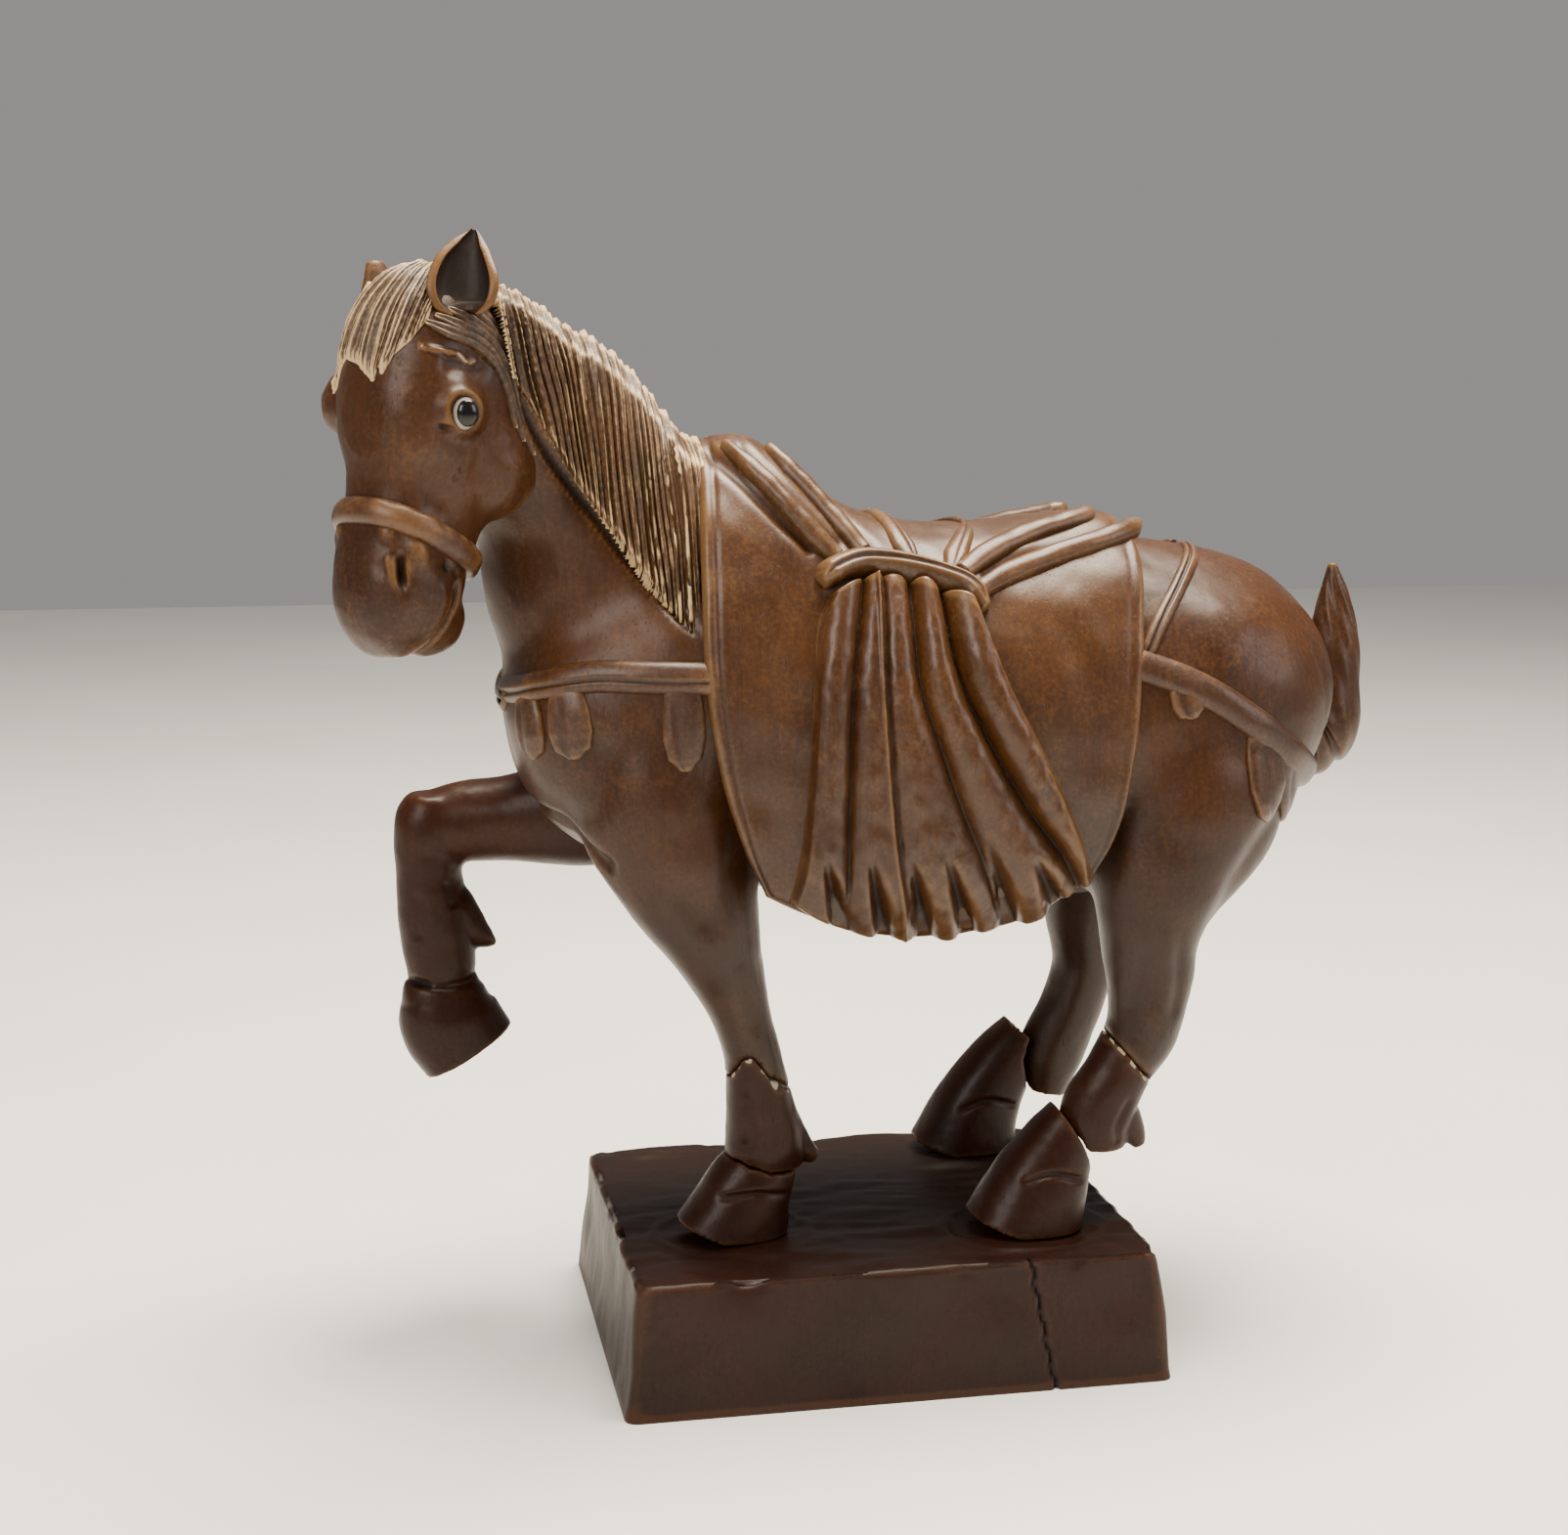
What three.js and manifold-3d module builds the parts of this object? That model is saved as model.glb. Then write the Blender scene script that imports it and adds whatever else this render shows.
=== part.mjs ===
// A carved wooden horse in the Tang manner, standing on a block plinth with its off foreleg raised.
// Millimetres. The origin is the centre of the plinth's underside, +Z is up, the horse faces -X
// and its near (left) side faces -Y.
import * as THREE from "three";
import { mergeVertices } from "three/addons/utils/BufferGeometryUtils.js";
import Module from "manifold-3d";

const wasm = await Module();
wasm.setup();

// ---- Driving dimensions ----
const GAP = 0.3; // clearance between neighbouring pieces
const PLINTH = { length: 90, depth: 72, height: 22.6, flare: 2.2, corner: 4 };
const MIDLINE = 2; // y of the horse's own middle plane on the plinth
const HEAD_TURN = THREE.MathUtils.degToRad(40); // the head turns to the near side
const HOOF_SINK = 0; // hooves rest on the plinth's top, a gap above it
const NOSEBAND_TILT = THREE.MathUtils.degToRad(31); // it falls towards the jaw
const STRAP_PROUD = 1.5; // how far carved straps stand above the body
const MANE_PROUD = 2.6;
const DRAPE_AXIS = 106; // height of the line that the saddle cloth's sections stand round
const PLEAT_PROUD = 3.2;
const SOLE = PLINTH.height + GAP - HOOF_SINK; // height of a standing hoof's sole

const HEAD_FORWARD = new THREE.Vector3(-Math.cos(HEAD_TURN), -Math.sin(HEAD_TURN), 0);
const HEAD_LEFT = new THREE.Vector3(Math.sin(HEAD_TURN), -Math.cos(HEAD_TURN), 0);
const HEAD_YAW = Math.atan2(HEAD_FORWARD.y, HEAD_FORWARD.x);
const ACROSS = new THREE.Vector3(0, 1, 0);

// ---- Materials: stained hardwood, darker low down, and glass eyes ----
const wood = (color, roughness = 0.42) => new THREE.MeshStandardMaterial({ color, roughness, metalness: 0 });
const MATERIAL = {
  body: wood(0x6b4526),
  cloth: wood(0x70502f),
  mane: wood(0x8a6d4a, 0.6),
  strap: wood(0x5f3c22),
  leg: wood(0x4a2b19),
  plinth: wood(0x3c2015),
  eyeWhite: new THREE.MeshStandardMaterial({ color: 0xd9d2c6, roughness: 0.12 }),
  pupil: new THREE.MeshStandardMaterial({ color: 0x080606, roughness: 0.05 }),
};

// ---- Solids ----
function toSolid(geometry) {
  const bare = geometry.index ? geometry.toNonIndexed() : geometry.clone();
  for (const name of ["normal", "uv"]) bare.deleteAttribute(name);
  const merged = mergeVertices(bare, 1e-4);
  const mesh = new wasm.Mesh({
    numProp: 3,
    vertProperties: new Float32Array(merged.attributes.position.array),
    triVerts: new Uint32Array(merged.index.array),
  });
  return new wasm.Manifold(mesh);
}

function toMesh(name, solid, material) {
  const data = solid.getMesh();
  const geometry = new THREE.BufferGeometry();
  geometry.setAttribute("position", new THREE.BufferAttribute(data.vertProperties, 3));
  geometry.setIndex(new THREE.BufferAttribute(data.triVerts, 1));
  geometry.computeVertexNormals();
  const mesh = new THREE.Mesh(geometry, material);
  mesh.name = name;
  return mesh;
}

const union = (...solids) => solids.reduce((all, one) => all.add(one));

// The largest body of a solid, without the slivers that a cut can leave.
function mainBody(solid) {
  return solid.decompose().reduce((best, one) => (one.volume() > best.volume() ? one : best));
}

// A limb: a unit sphere whose rows become rounded sections along a smooth path. A station is
// [x, y, z, halfDepth, halfWidth]: depth lies across the path and across `side`, width along `side`.
// power 2 is an ellipse and more is squarer. grow thickens every section.
function limb(stations, { around = 16, along = 14, side = ACROSS, power = 2, grow = 0 } = {}) {
  const path = new THREE.CatmullRomCurve3(stations.map(([x, y, z]) => new THREE.Vector3(x, y, z)));
  const size = new THREE.CatmullRomCurve3(stations.map(([, , , d, w]) => new THREE.Vector3(d, w, 0)));
  const geometry = new THREE.SphereGeometry(1, around, along);
  const position = geometry.attributes.position;
  const point = new THREE.Vector3();
  for (let i = 0; i < position.count; i++) {
    const row = Math.floor(i / (around + 1));
    const column = i % (around + 1);
    const t = THREE.MathUtils.clamp((row - 1) / (along - 2), 0, 1);
    const pole = row === 0 || row === along;
    const tangent = path.getTangent(t);
    const width = side.clone().addScaledVector(tangent, -side.dot(tangent)).normalize();
    const depth = new THREE.Vector3().crossVectors(tangent, width);
    const angle = (2 * Math.PI * (column % around)) / around;
    const half = size.getPoint(t);
    const c = Math.cos(angle);
    const s = Math.sin(angle);
    const round = (v) => Math.sign(v) * Math.abs(v) ** (2 / power);
    point.copy(path.getPoint(t));
    if (pole) point.addScaledVector(tangent, row === 0 ? -grow : grow);
    else {
      point.addScaledVector(width, round(c) * (half.y + grow));
      point.addScaledVector(depth, round(s) * (half.x + grow));
    }
    position.setXYZ(i, point.x, point.y, point.z);
  }
  const solid = toSolid(geometry);
  return solid.volume() < 0 ? mirrored(geometry) : solid;
}

// The same closed surface with its faces turned round.
function mirrored(geometry) {
  const index = geometry.index.array;
  for (let i = 0; i < index.length; i += 3) [index[i + 1], index[i + 2]] = [index[i + 2], index[i + 1]];
  return toSolid(geometry);
}

const ellipsoid = (centre, radii, yaw = 0, segments = 16) =>
  toSolid(
    new THREE.SphereGeometry(1, segments, segments / 2)
      .scale(...radii)
      .rotateZ(yaw)
      .translate(...centre),
  );

// A prism across the horse from y = from to y = to, whose outline is given in x and z.
function slab(outline, from = -60, to = 60) {
  const shape = outline instanceof THREE.Shape ? outline : new THREE.Shape(
    outline.map(([x, z]) => new THREE.Vector2(x, z))
  );
  const geometry = new THREE.ExtrudeGeometry(
    shape, { depth: to - from, bevelEnabled: false, curveSegments: 8 },
  );
  return toSolid(geometry.rotateX(Math.PI / 2).translate(0, to, 0));
}

// A prism that runs along the head's forward axis, whose outline is given across (left) and up the face.
function facePrism(outline, from, to) {
  const shape = new THREE.Shape(outline.map(([left, up]) => new THREE.Vector2(left, up)));
  const frame = new THREE.Matrix4().makeBasis(HEAD_LEFT, new THREE.Vector3(0, 0, 1), HEAD_FORWARD);
  const geometry = new THREE.ExtrudeGeometry(
    shape, { depth: to - from, bevelEnabled: false },
  ).translate(0, 0, from);
  return toSolid(geometry.applyMatrix4(frame).translate(SKULL.x, SKULL.y, SKULL.z));
}

// A band of even width in x and z along a smooth line, as a slab across the horse.
function band(line, halfWidth, from = -60, to = 60) {
  const curve = new THREE.SplineCurve(line.map(([x, z]) => new THREE.Vector2(x, z)));
  const steps = 4 * line.length;
  const edge = (sign) =>
    Array.from({ length: steps + 1 }, (_, i) => {
      const p = curve.getPoint(i / steps);
      const t = curve.getTangent(i / steps);
      return [p.x - sign * halfWidth * t.y, p.y + sign * halfWidth * t.x];
    });
  return slab([...edge(1), ...edge(-1).reverse()], from, to);
}

// Both sides of a break: what lies below the jagged line, and what lies above it less the glue gap.
function breakAlong(solid, line, depth = 40) {
  const below = (lift) => {
    const first = line[0];
    const last = line[line.length - 1];
    return slab(
      [...line.map(([x, z]) => [x, z + lift]), [last[0], last[1] - depth], [first[0], first[1] - depth]]
    );
  };
  return { lower: mainBody(solid.intersect(below(0))), upper: mainBody(solid.subtract(below(GAP))) };
}

// ---- The carved figure's main forms, as functions of how much they are thickened ----
const torsoForm = (grow = 0) =>
  limb(
    [
      [-61.5, 109, 7, 9],
      [-59, 109.5, 13.5, 15],
      [-53, 110.5, 20.5, 20.5],
      [-44, 112, 26, 24],
      [-30, 114.5, 31.5, 26.5],
      [-14, 114, 33, 28],
      [4, 110.5, 32, 29],
      [22, 110.5, 32.5, 29],
      [40, 110.5, 32.5, 28],
      [56, 111.5, 30.5, 27.5],
      [68, 112.5, 27, 25.5],
      [77, 112.5, 21, 21],
      [83, 112, 13.5, 14.5],
      [86, 111.5, 7, 8],
    ].map(([x, z, height, width]) => [x, MIDLINE, z, height, width]),
    { around: 20, along: 18, grow },
  );

const neckForm = (grow = 0) =>
  limb(
    [
      [-27, 2, 117, 27, 24],
      [-36.5, 2, 129, 26, 20.5],
      [-44.5, 1.5, 139.5, 23, 16.5],
      [-51.6, -0.5, 152, 17.4, 13.5],
      [-59, -4, 160.5, 16, 12],
      [-66.5, -8.5, 167, 14, 11],
      [-72, -12, 170.5, 11, 9],
    ],
    { around: 16, along: 10, grow },
  );

const skullForm = (grow = 0) =>
  limb(
    [
      [-72.4, -11.5, 186.2, 5, 5],
      [-72.8, -12, 183, 9, 8.4],
      [-73.4, -12.5, 177, 12.4, 11.2],
      [-74.2, -13.2, 166, 14.6, 12.8],
      [-75.2, -14.2, 156, 13.6, 11.4],
      [-77.4, -15.6, 148, 11, 9.6],
      [-79.6, -17, 140, 10.2, 9.8],
      [-80.4, -17.8, 133.5, 9.4, 9.4],
      [-80, -17.6, 128.5, 7, 7],
      [-79.4, -17.4, 126.2, 3, 3],
    ],
    { around: 16, along: 14, side: HEAD_LEFT, power: 2.5, grow },
  );

// A place on the head: forward along the face, to the head's left, and up, from the skull's centre.
const SKULL = new THREE.Vector3(-74.2, -13.2, 165);
const onHead = (forward, left, up) =>
  SKULL.clone().addScaledVector(
    HEAD_FORWARD, forward,
  ).addScaledVector(HEAD_LEFT, left).setZ(SKULL.z + up).toArray();

function cheeks(grow = 0) {
  const one = (side) =>
    ellipsoid(onHead(-5.5, side * 6, -9), [12.5 + grow, 6.2 + grow, 14 + grow], HEAD_YAW, 14);
  return union(one(1), one(-1));
}

// The brows swell round the eyes, and the lower jaw hangs behind the lips.
function brows(grow = 0) {
  const one = (side) => ellipsoid(
    onHead(4.4, side * 11.2, 0.4), [5.4 + grow, 3.4 + grow, 5.2 + grow], HEAD_YAW, 12,
  );
  return union(one(1), one(-1));
}

const jaw = (grow = 0) => ellipsoid(
  onHead(2.6, 0.4, -33.4), [6.6 + grow, 6.2 + grow, 6.4 + grow], HEAD_YAW, 12,
);
const headForm = (grow = 0) => union(skullForm(grow), cheeks(grow), brows(grow), jaw(grow));

// Near foreleg down to the fetlock, hind legs down to theirs, and the raised off foreleg.
const nearForeForm = (grow = 0) =>
  limb(
    [
      [-40, -11, 106, 15, 12],
      [-36.5, -14, 95, 14, 11],
      [-32, -15, 84, 11.6, 9.6],
      [-27.8, -14.5, 73.5, 8, 7.4],
      [-24.4, -14, 64, 5.4, 5.8],
      [-21.8, -13.4, 55, 4.9, 5.2],
      [-20.4, -12.8, 46, 5.9, 5.6],
      [-19.4, -12.2, 38, 7, 6],
      [-19.6, -12, 33.5, 6.2, 5.4],
    ],
    { around: 12, along: 13, grow },
  );

const nearHindForm = (grow = 0) =>
  limb(
    [
      [60, -10, 109, 18, 14],
      [56, -14, 97, 17.5, 13.5],
      [51.3, -16.5, 86.5, 14.6, 11.8],
      [48.3, -18, 76.5, 10, 9],
      [48, -18.6, 66, 7.7, 6.6],
      [46.8, -19, 57.5, 6.6, 5.8],
      [42.6, -19, 50, 5.8, 5.3],
      [38.9, -18.8, 42.5, 6.6, 5.5],
      [38.6, -18.8, 36.5, 5.4, 5],
    ],
    { around: 12, along: 13, grow },
  );

const offHindForm = (grow = 0) =>
  limb(
    [
      [58, 13, 108, 17, 13],
      [54.5, 17, 95, 15.5, 12],
      [51, 20.5, 82, 11.5, 9.6],
      [49.6, 23, 69.5, 7.8, 6.8],
      [50.3, 24.2, 59, 6.2, 5.8],
      [48, 25, 50, 6, 5.4],
      [44.4, 25.4, 41, 6.4, 5.4],
      [42.6, 25.5, 33, 4.6, 4.6],
    ],
    { around: 12, along: 14, grow },
  );

const raisedForeForm = (grow = 0) =>
  union(
    limb(
      [
        [-36, 13, 97, 12, 9],
        [-48, 16.5, 93, 10.2, 8.4],
        [-60, 19, 91.8, 8, 7.2],
        [-70, 20, 91.2, 7.2, 6.4],
        [-77.5, 20, 90.6, 5.4, 5],
      ],
      { around: 12, along: 9, grow },
    ),
    limb(
      [
        [-73.8, 20, 96.5, 4.2, 4.4],
        [-74.6, 20, 91.5, 6.4, 6],
        [-74.9, 20, 82, 6, 5.5],
        [-74, 20, 72, 6.5, 5.6],
        [-73.2, 20, 66.5, 6.4, 5.4],
        [-73.2, 20, 62.5, 5.9, 5.2],
      ],
      { around: 12, along: 12, grow },
    ),
    limb(
      [
        [-71.5, 20, 74, 3, 3], [-68, 20, 70.8, 3, 3], [-65.2, 20, 69, 1.7, 1.8],
        [-63.6, 20, 68.2, 0.5, 0.6],
      ],
      { around: 10, along: 8, grow },
    ),
  );

// ---- Hooves ----
const hoof = (stations) => limb(stations, { around: 16, along: 7, power: 2.3 });

function standingHoof(stations) {
  return hoof(stations).intersect(slab([[-90, SOLE], [90, SOLE], [90, 70], [-90, 70]]));
}

const nearForeHoof = standingHoof([
  [-19.9, -12, 38, 5.6, 5.4],
  [-20.6, -12, 34, 6.7, 6.4],
  [-22.8, -12, 29, 8, 7.4],
  [-25.3, -12, 22, 10.2, 8.6],
]);
const nearHindHoof = standingHoof([
  [35.6, -18.8, 43, 4.6, 4.8],
  [32, -18.8, 37, 6.6, 6],
  [28.4, -19, 30, 8.8, 7.6],
  [25.4, -19, 22, 10.6, 8.8],
]);
const offHindHoof = standingHoof([
  [39.4, 25.4, 44.5, 5.6, 5],
  [33.6, 25.4, 38, 6.8, 6],
  [29.4, 25.6, 30.5, 8.4, 7.2],
  [26.8, 26, 22, 10.4, 8.4],
]);
const raisedHoof = hoof([
  [-73.2, 20, 62.6, 6.4, 5.8],
  [-72.6, 20, 59.5, 7.4, 6.7],
  [-70.8, 20, 53.8, 9.2, 7.6],
  [-68.7, 20, 48.6, 8.7, 7.2],
]);

// ---- Legs, with the old breaks that were glued ----
const nearFore = breakAlong(
  nearForeForm(), [[-34, 47], [-27, 49.5], [-24.4, 55.4], [-22.6, 55.8], [-18.6, 51], [-9, 44]],
);
const nearHind = breakAlong(nearHindForm(), [[32, 62], [40, 57.2], [43, 53.6], [47.4, 48.6], [60, 38]]);
// The off hind leg's break runs down the leg, so its outline is cut as a patch.
const offBreak = [
  [39.7, 60], [39.7, 47.6], [37.4, 40.6], [38.4, 35.4], [40.4, 31.6], [41.5, 20], [0, 20], [0, 60],
];
const offHindShank = offHindForm().subtract(
  slab(offBreak).intersect(slab([[0, 0], [60, 0], [60, 56], [0, 56]]))
);

const cutBy = (solid, ...others) => mainBody(others.reduce((left, other) => left.subtract(other), solid));
const withGap = (stationsForm) => stationsForm(GAP);

const nearForeCannon = cutBy(
  nearFore.lower, slab([[-34, 38.4], [-26, 36.9], [-19, 34.4], [-5, 33.7], [-5, 20], [-34, 20]]),
);
const nearForeHoofPiece = nearForeHoof.intersect(
  slab([[-40, 38.1], [-26, 36.6], [-19, 34.1], [-5, 33.4], [-5, 10], [-40, 10]])
);
const nearHindLine = [[27, 50.5], [31.6, 43.8], [35.4, 37.6], [37.2, 33.6], [38.2, 28]];
const frontOf = (shift) => slab(
  [...nearHindLine.map(([x, z]) => [x + shift, z]), [38.2 + shift, 10], [0, 10], [0, 50.5]]
);
const nearHindCannon = cutBy(nearHind.lower, frontOf(GAP));
const nearHindHoofPiece = mainBody(nearHindHoof.intersect(frontOf(0)));
const offHindHoofPiece = mainBody(offHindHoof.intersect(slab(offBreak.map(([x, z]) => [x - GAP, z]))));

const tailPeg = toSolid(
  new THREE.CylinderGeometry(3, 3, 12, 12).rotateZ(Math.PI / 2).translate(80.5, MIDLINE, 108)
);
const tailSocket = toSolid(
  new THREE.CylinderGeometry(
    3 + GAP, 3 + GAP, 12 + GAP, 12,
  ).rotateZ(Math.PI / 2).translate(80.5, MIDLINE, 108)
);
const tailForm = limb(
  [
    [85.5, MIDLINE, 108, 9.6, 8],
    [87.4, MIDLINE, 109.6, 8, 7],
    [89.6, MIDLINE, 116, 4.8, 5.6],
    [90.2, MIDLINE, 124, 3.7, 4.4],
    [89.8, MIDLINE, 131, 2.2, 2.6],
    [88.8, MIDLINE, 136.6, 0.6, 0.7],
  ],
  { around: 12, along: 10 },
);

// ---- The saddle cloth's drape and its outline from the side ----
const drapeForm = (grow = 0) =>
  limb(
    [
      [-40, 50, 27.5],
      [-24.5, 54.4, 28.5],
      [-17, 52.6, 29.2],
      [-5, 43.4, 30],
      [7.5, 39.6, 30.4],
      [22, 39.4, 30.4],
      [40, 41, 29.6],
      [49, 39.4, 28.6],
      [56, 36, 27.6],
    ].map(([x, height, width]) => [x, MIDLINE, DRAPE_AXIS, height, width]),
    { around: 20, along: 14, power: 2.3, grow },
  );
const clothOutline = new THREE.Shape();
clothOutline.moveTo(-24.5, 170);
clothOutline.lineTo(-24.5, 161);
clothOutline.bezierCurveTo(-29, 150, -32, 135, -31, 121);
clothOutline.bezierCurveTo(-29.5, 106, -26, 93, -21.4, 84.7);
clothOutline.bezierCurveTo(-12, 79, 0, 76, 8, 76.4);
clothOutline.bezierCurveTo(18, 76.8, 28, 79.5, 33.5, 84);
clothOutline.bezierCurveTo(38.5, 94, 42, 110, 42.4, 122.4);
clothOutline.bezierCurveTo(43.5, 132, 49, 140, 51.5, 146);
clothOutline.lineTo(51.5, 170);
const clothSpace = drapeForm(GAP).intersect(slab(clothOutline));

// ---- The carved body with its sockets ----
const bodyForm = (grow) =>
  union(torsoForm(grow), neckForm(grow), nearForeForm(grow), nearHindForm(grow), offHindForm(grow));
const bodyWithGap = bodyForm(GAP);
const rightEarStub = limb(
  [[-81, -5, 180, 4.2, 3.4], [-81.6, -4.6, 185, 3.4, 2.2], [-82, -4.4, 188.4, 2.4, 1.4]],
  { around: 10, along: 8, side: HEAD_LEFT },
);
const eyeAt = (side) => onHead(4.6, side * 12.7, -0.6);
const eyeYaw = (side) => HEAD_YAW + side * 1.08;
const eyeSocket = (side) => ellipsoid(eyeAt(side), [2.6 + GAP, 2.3 + GAP, 2.5 + GAP], eyeYaw(side), 12);
const carvedBody = cutBy(
  union(torsoForm(), neckForm(), headForm(), rightEarStub, nearFore.upper, nearHind.upper, offHindShank),
  tailSocket,
  eyeSocket(1),
  eyeSocket(-1),
);

const tail = mainBody(tailForm.subtract(torsoForm(GAP))).add(tailPeg);
const raisedForeleg = cutBy(union(raisedForeForm(), raisedHoof), bodyForm(GAP));

// ---- Eyes: a white glass bead with a black pupil let into it ----
function eye(side) {
  const at = eyeAt(side);
  const yaw = eyeYaw(side);
  const bead = ellipsoid(at, [2.6, 2.3, 2.5], yaw, 12);
  const outward = new THREE.Vector3(Math.cos(yaw), Math.sin(yaw), 0);
  const front = new THREE.Vector3(...at).addScaledVector(outward, 2);
  const pupil = ellipsoid(front.toArray(), [0.95, 1.4, 1.75], yaw, 10);
  const recess = ellipsoid(front.toArray(), [0.95 + GAP, 1.4 + GAP, 1.75 + GAP], yaw, 10);
  return { bead: mainBody(bead.subtract(recess)), pupil };
}
const leftEye = eye(1);
const rightEye = eye(-1);

// ---- Near ear: a cupped leaf set into the poll ----
const EAR_ACROSS = new THREE.Vector3(0.96, -0.28, 0);
const earForm = (grow = 0) =>
  limb(
    [
      [-68, -16.4, 176.5, 3, 3.6],
      [-68.4, -17, 179.5, 3.2, 5],
      [-68.4, -17.2, 183, 3, 5.5],
      [-67.8, -17, 187.5, 2.3, 4],
      [-66.8, -16.8, 191, 1.2, 1.7],
      [-66.4, -16.8, 192.9, 0.4, 0.5],
    ],
    { around: 14, along: 12, side: EAR_ACROSS, grow },
  );
const earHollow = ellipsoid([-68.7, -20, 184], [3.9, 2.7, 6], -0.28, 12);
const headWithGap = union(headForm(GAP), neckForm(GAP));
const leftEar = cutBy(earForm(), earHollow, headWithGap);

// ---- Mane and forelock ----
const manePatch = slab([
  [-64, 175], [-70, 183], [-70, 200], [-20, 200], [-23, 160], [-26.5, 152], [-31.7, 137], [-31.7, 124.2],
  [-37, 131.5], [-48, 146], [-57, 156.5], [-60.5, 164],
]);
const maneShell = union(
  neckForm(MANE_PROUD),
  torsoForm(MANE_PROUD),
  limb(
    [
      [-66, -7, 177, 10, 10], [-57, -3, 170.6, 10.4, 9], [-46, 0, 162.6, 10.2, 8],
      [-38, 2, 153, 10.4, 8], [-31, 2, 149, 10, 8],
    ],
    { around: 14, along: 10 },
  ),
);
const mane = cutBy(maneShell.intersect(manePatch), bodyWithGap, headWithGap, earForm(GAP), clothSpace);
// The forelock fans down the forehead: an outline across and up the face, cut through the swollen skull.
const FORELOCK = [[-8.5, 24], [8.5, 24], [8.4, 17], [5.6, 12], [3.4, 6.4], [0.4, 9], [-4, 12], [-10, 14.5]];
const forelockPatch = facePrism(FORELOCK, 0, 30);
const earStubGap = limb(
  [[-81, -5, 180, 4.6, 3.8], [-82, -4.4, 190, 3, 2]], { around: 10, along: 6, side: HEAD_LEFT },
);
const forelock = cutBy(headForm(1.6).intersect(forelockPatch), headWithGap, mane, earStubGap, earForm(GAP));

// ---- Saddle cloth, its knotted pleats and its rolled edges ----
const underBelly = limb(
  [[-50, MIDLINE, 76, 14, 20], [0, MIDLINE, 76, 14, 21], [60, MIDLINE, 76, 14, 20]],
  { around: 16, along: 6 },
);
const saddleCloth = cutBy(
  drapeForm().intersect(slab(clothOutline)), bodyWithGap, headWithGap, underBelly, belowLimbs(),
);

// Room for the legs where they leave the body under the cloth.
function belowLimbs() {
  return union(nearForeForm(GAP), nearHindForm(GAP), offHindForm(GAP), raisedForeForm(GAP));
}

const fallOutline = [
  [-10, 134.5], [14, 131.5], [33.4, 85], [25, 79.5], [8, 76.2], [-9, 78.6], [-20, 84.5], [-14, 110],
];
const fallRegion = slab(fallOutline.map(([x, z]) => [x, z]));
const clothWithGap = drapeForm(GAP);
const sideOnly = (side) => (
  side < 0 ? slab(
    [[-100, 0], [100, 0], [100, 210], [-100, 210]], -60, MIDLINE - 6,
  ) : slab([[-100, 0], [100, 0], [100, 210], [-100, 210]], MIDLINE + 6, 60)
);
const pleatedFall = (side) =>
  mainBody(
    cutBy(
      drapeForm(PLEAT_PROUD).intersect(fallRegion).intersect(sideOnly(side)), clothWithGap,
      nearHindForm(GAP), offHindForm(GAP), nearForeForm(GAP), raisedForeForm(GAP),
    ),
  );
const leftFall = pleatedFall(-1);
const rightFall = pleatedFall(1);

// A rolled edge that follows the cloth: what stands proud of it inside a band.
const roll = (line, halfWidth, proud, side) =>
  mainBody(
    drapeForm(proud).intersect(band(line, halfWidth)).intersect(sideOnly(side)).subtract(clothWithGap)
  );
const KNOT = [[-6, 140.4], [6, 138]];
const FRONT_ROLL = [[-25, 158.6], [-19, 152.2], [-12.5, 144]];
const FRONT_INNER_ROLL = [[-17.5, 158], [-11, 150.6], [-4.6, 142.6]];
const REAR_ROLL = [[47.6, 144.6], [34, 140.6], [18.6, 135.4]];
const REAR_INNER_ROLL = [[39.8, 146.4], [27.5, 143.6], [13.4, 138.8]];

const knotForm = (proud, grow) => drapeForm(proud).intersect(
  band([[-11.5 - grow, 139.6], ...KNOT, [16.5 + grow, 132.2]], 1.9 + grow)
);

const rollsOn = (side, name) => {
  const knot = mainBody(knotForm(3.4, 0).intersect(sideOnly(side)).subtract(clothWithGap));
  const knotGap = knotForm(3.7, GAP);
  const fall = side < 0 ? leftFall : rightFall;
  return [
    ["knot_band_" + name, cutBy(knot, fall.subtract(sideOnly(-side)))],
    ["front_outer_roll_" + name, cutBy(roll(FRONT_ROLL, 1.5, 1.5, side), knotGap)],
    ["front_inner_roll_" + name, cutBy(roll(FRONT_INNER_ROLL, 1.5, 1.5, side), knotGap)],
    ["rear_outer_roll_" + name, cutBy(roll(REAR_ROLL, 1.6, 1.5, side), knotGap)],
    ["rear_inner_roll_" + name, cutBy(roll(REAR_INNER_ROLL, 1.5, 1.5, side), knotGap)],
  ];
};

// Two slim leaves stand out of the knot and lie on the seat.
const LEAVES = [
  ["front_tie_leaf", [[8.2, 139.4], [3.6, 143.6], [1.6, 149.4], [6.4, 145.4]]],
  ["rear_tie_leaf", [[11.6, 138.6], [13.2, 143.2], [19.2, 146.2], [17.4, 142]]],
];
function tieLeaf(outline, side) {
  const others = [knotForm(3.7, GAP), band(REAR_INNER_ROLL, 1.5 + GAP), band(FRONT_INNER_ROLL, 1.5 + GAP)];
  return cutBy(drapeForm(1.2).intersect(slab(outline)).intersect(sideOnly(side)), clothWithGap, ...others);
}

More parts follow.
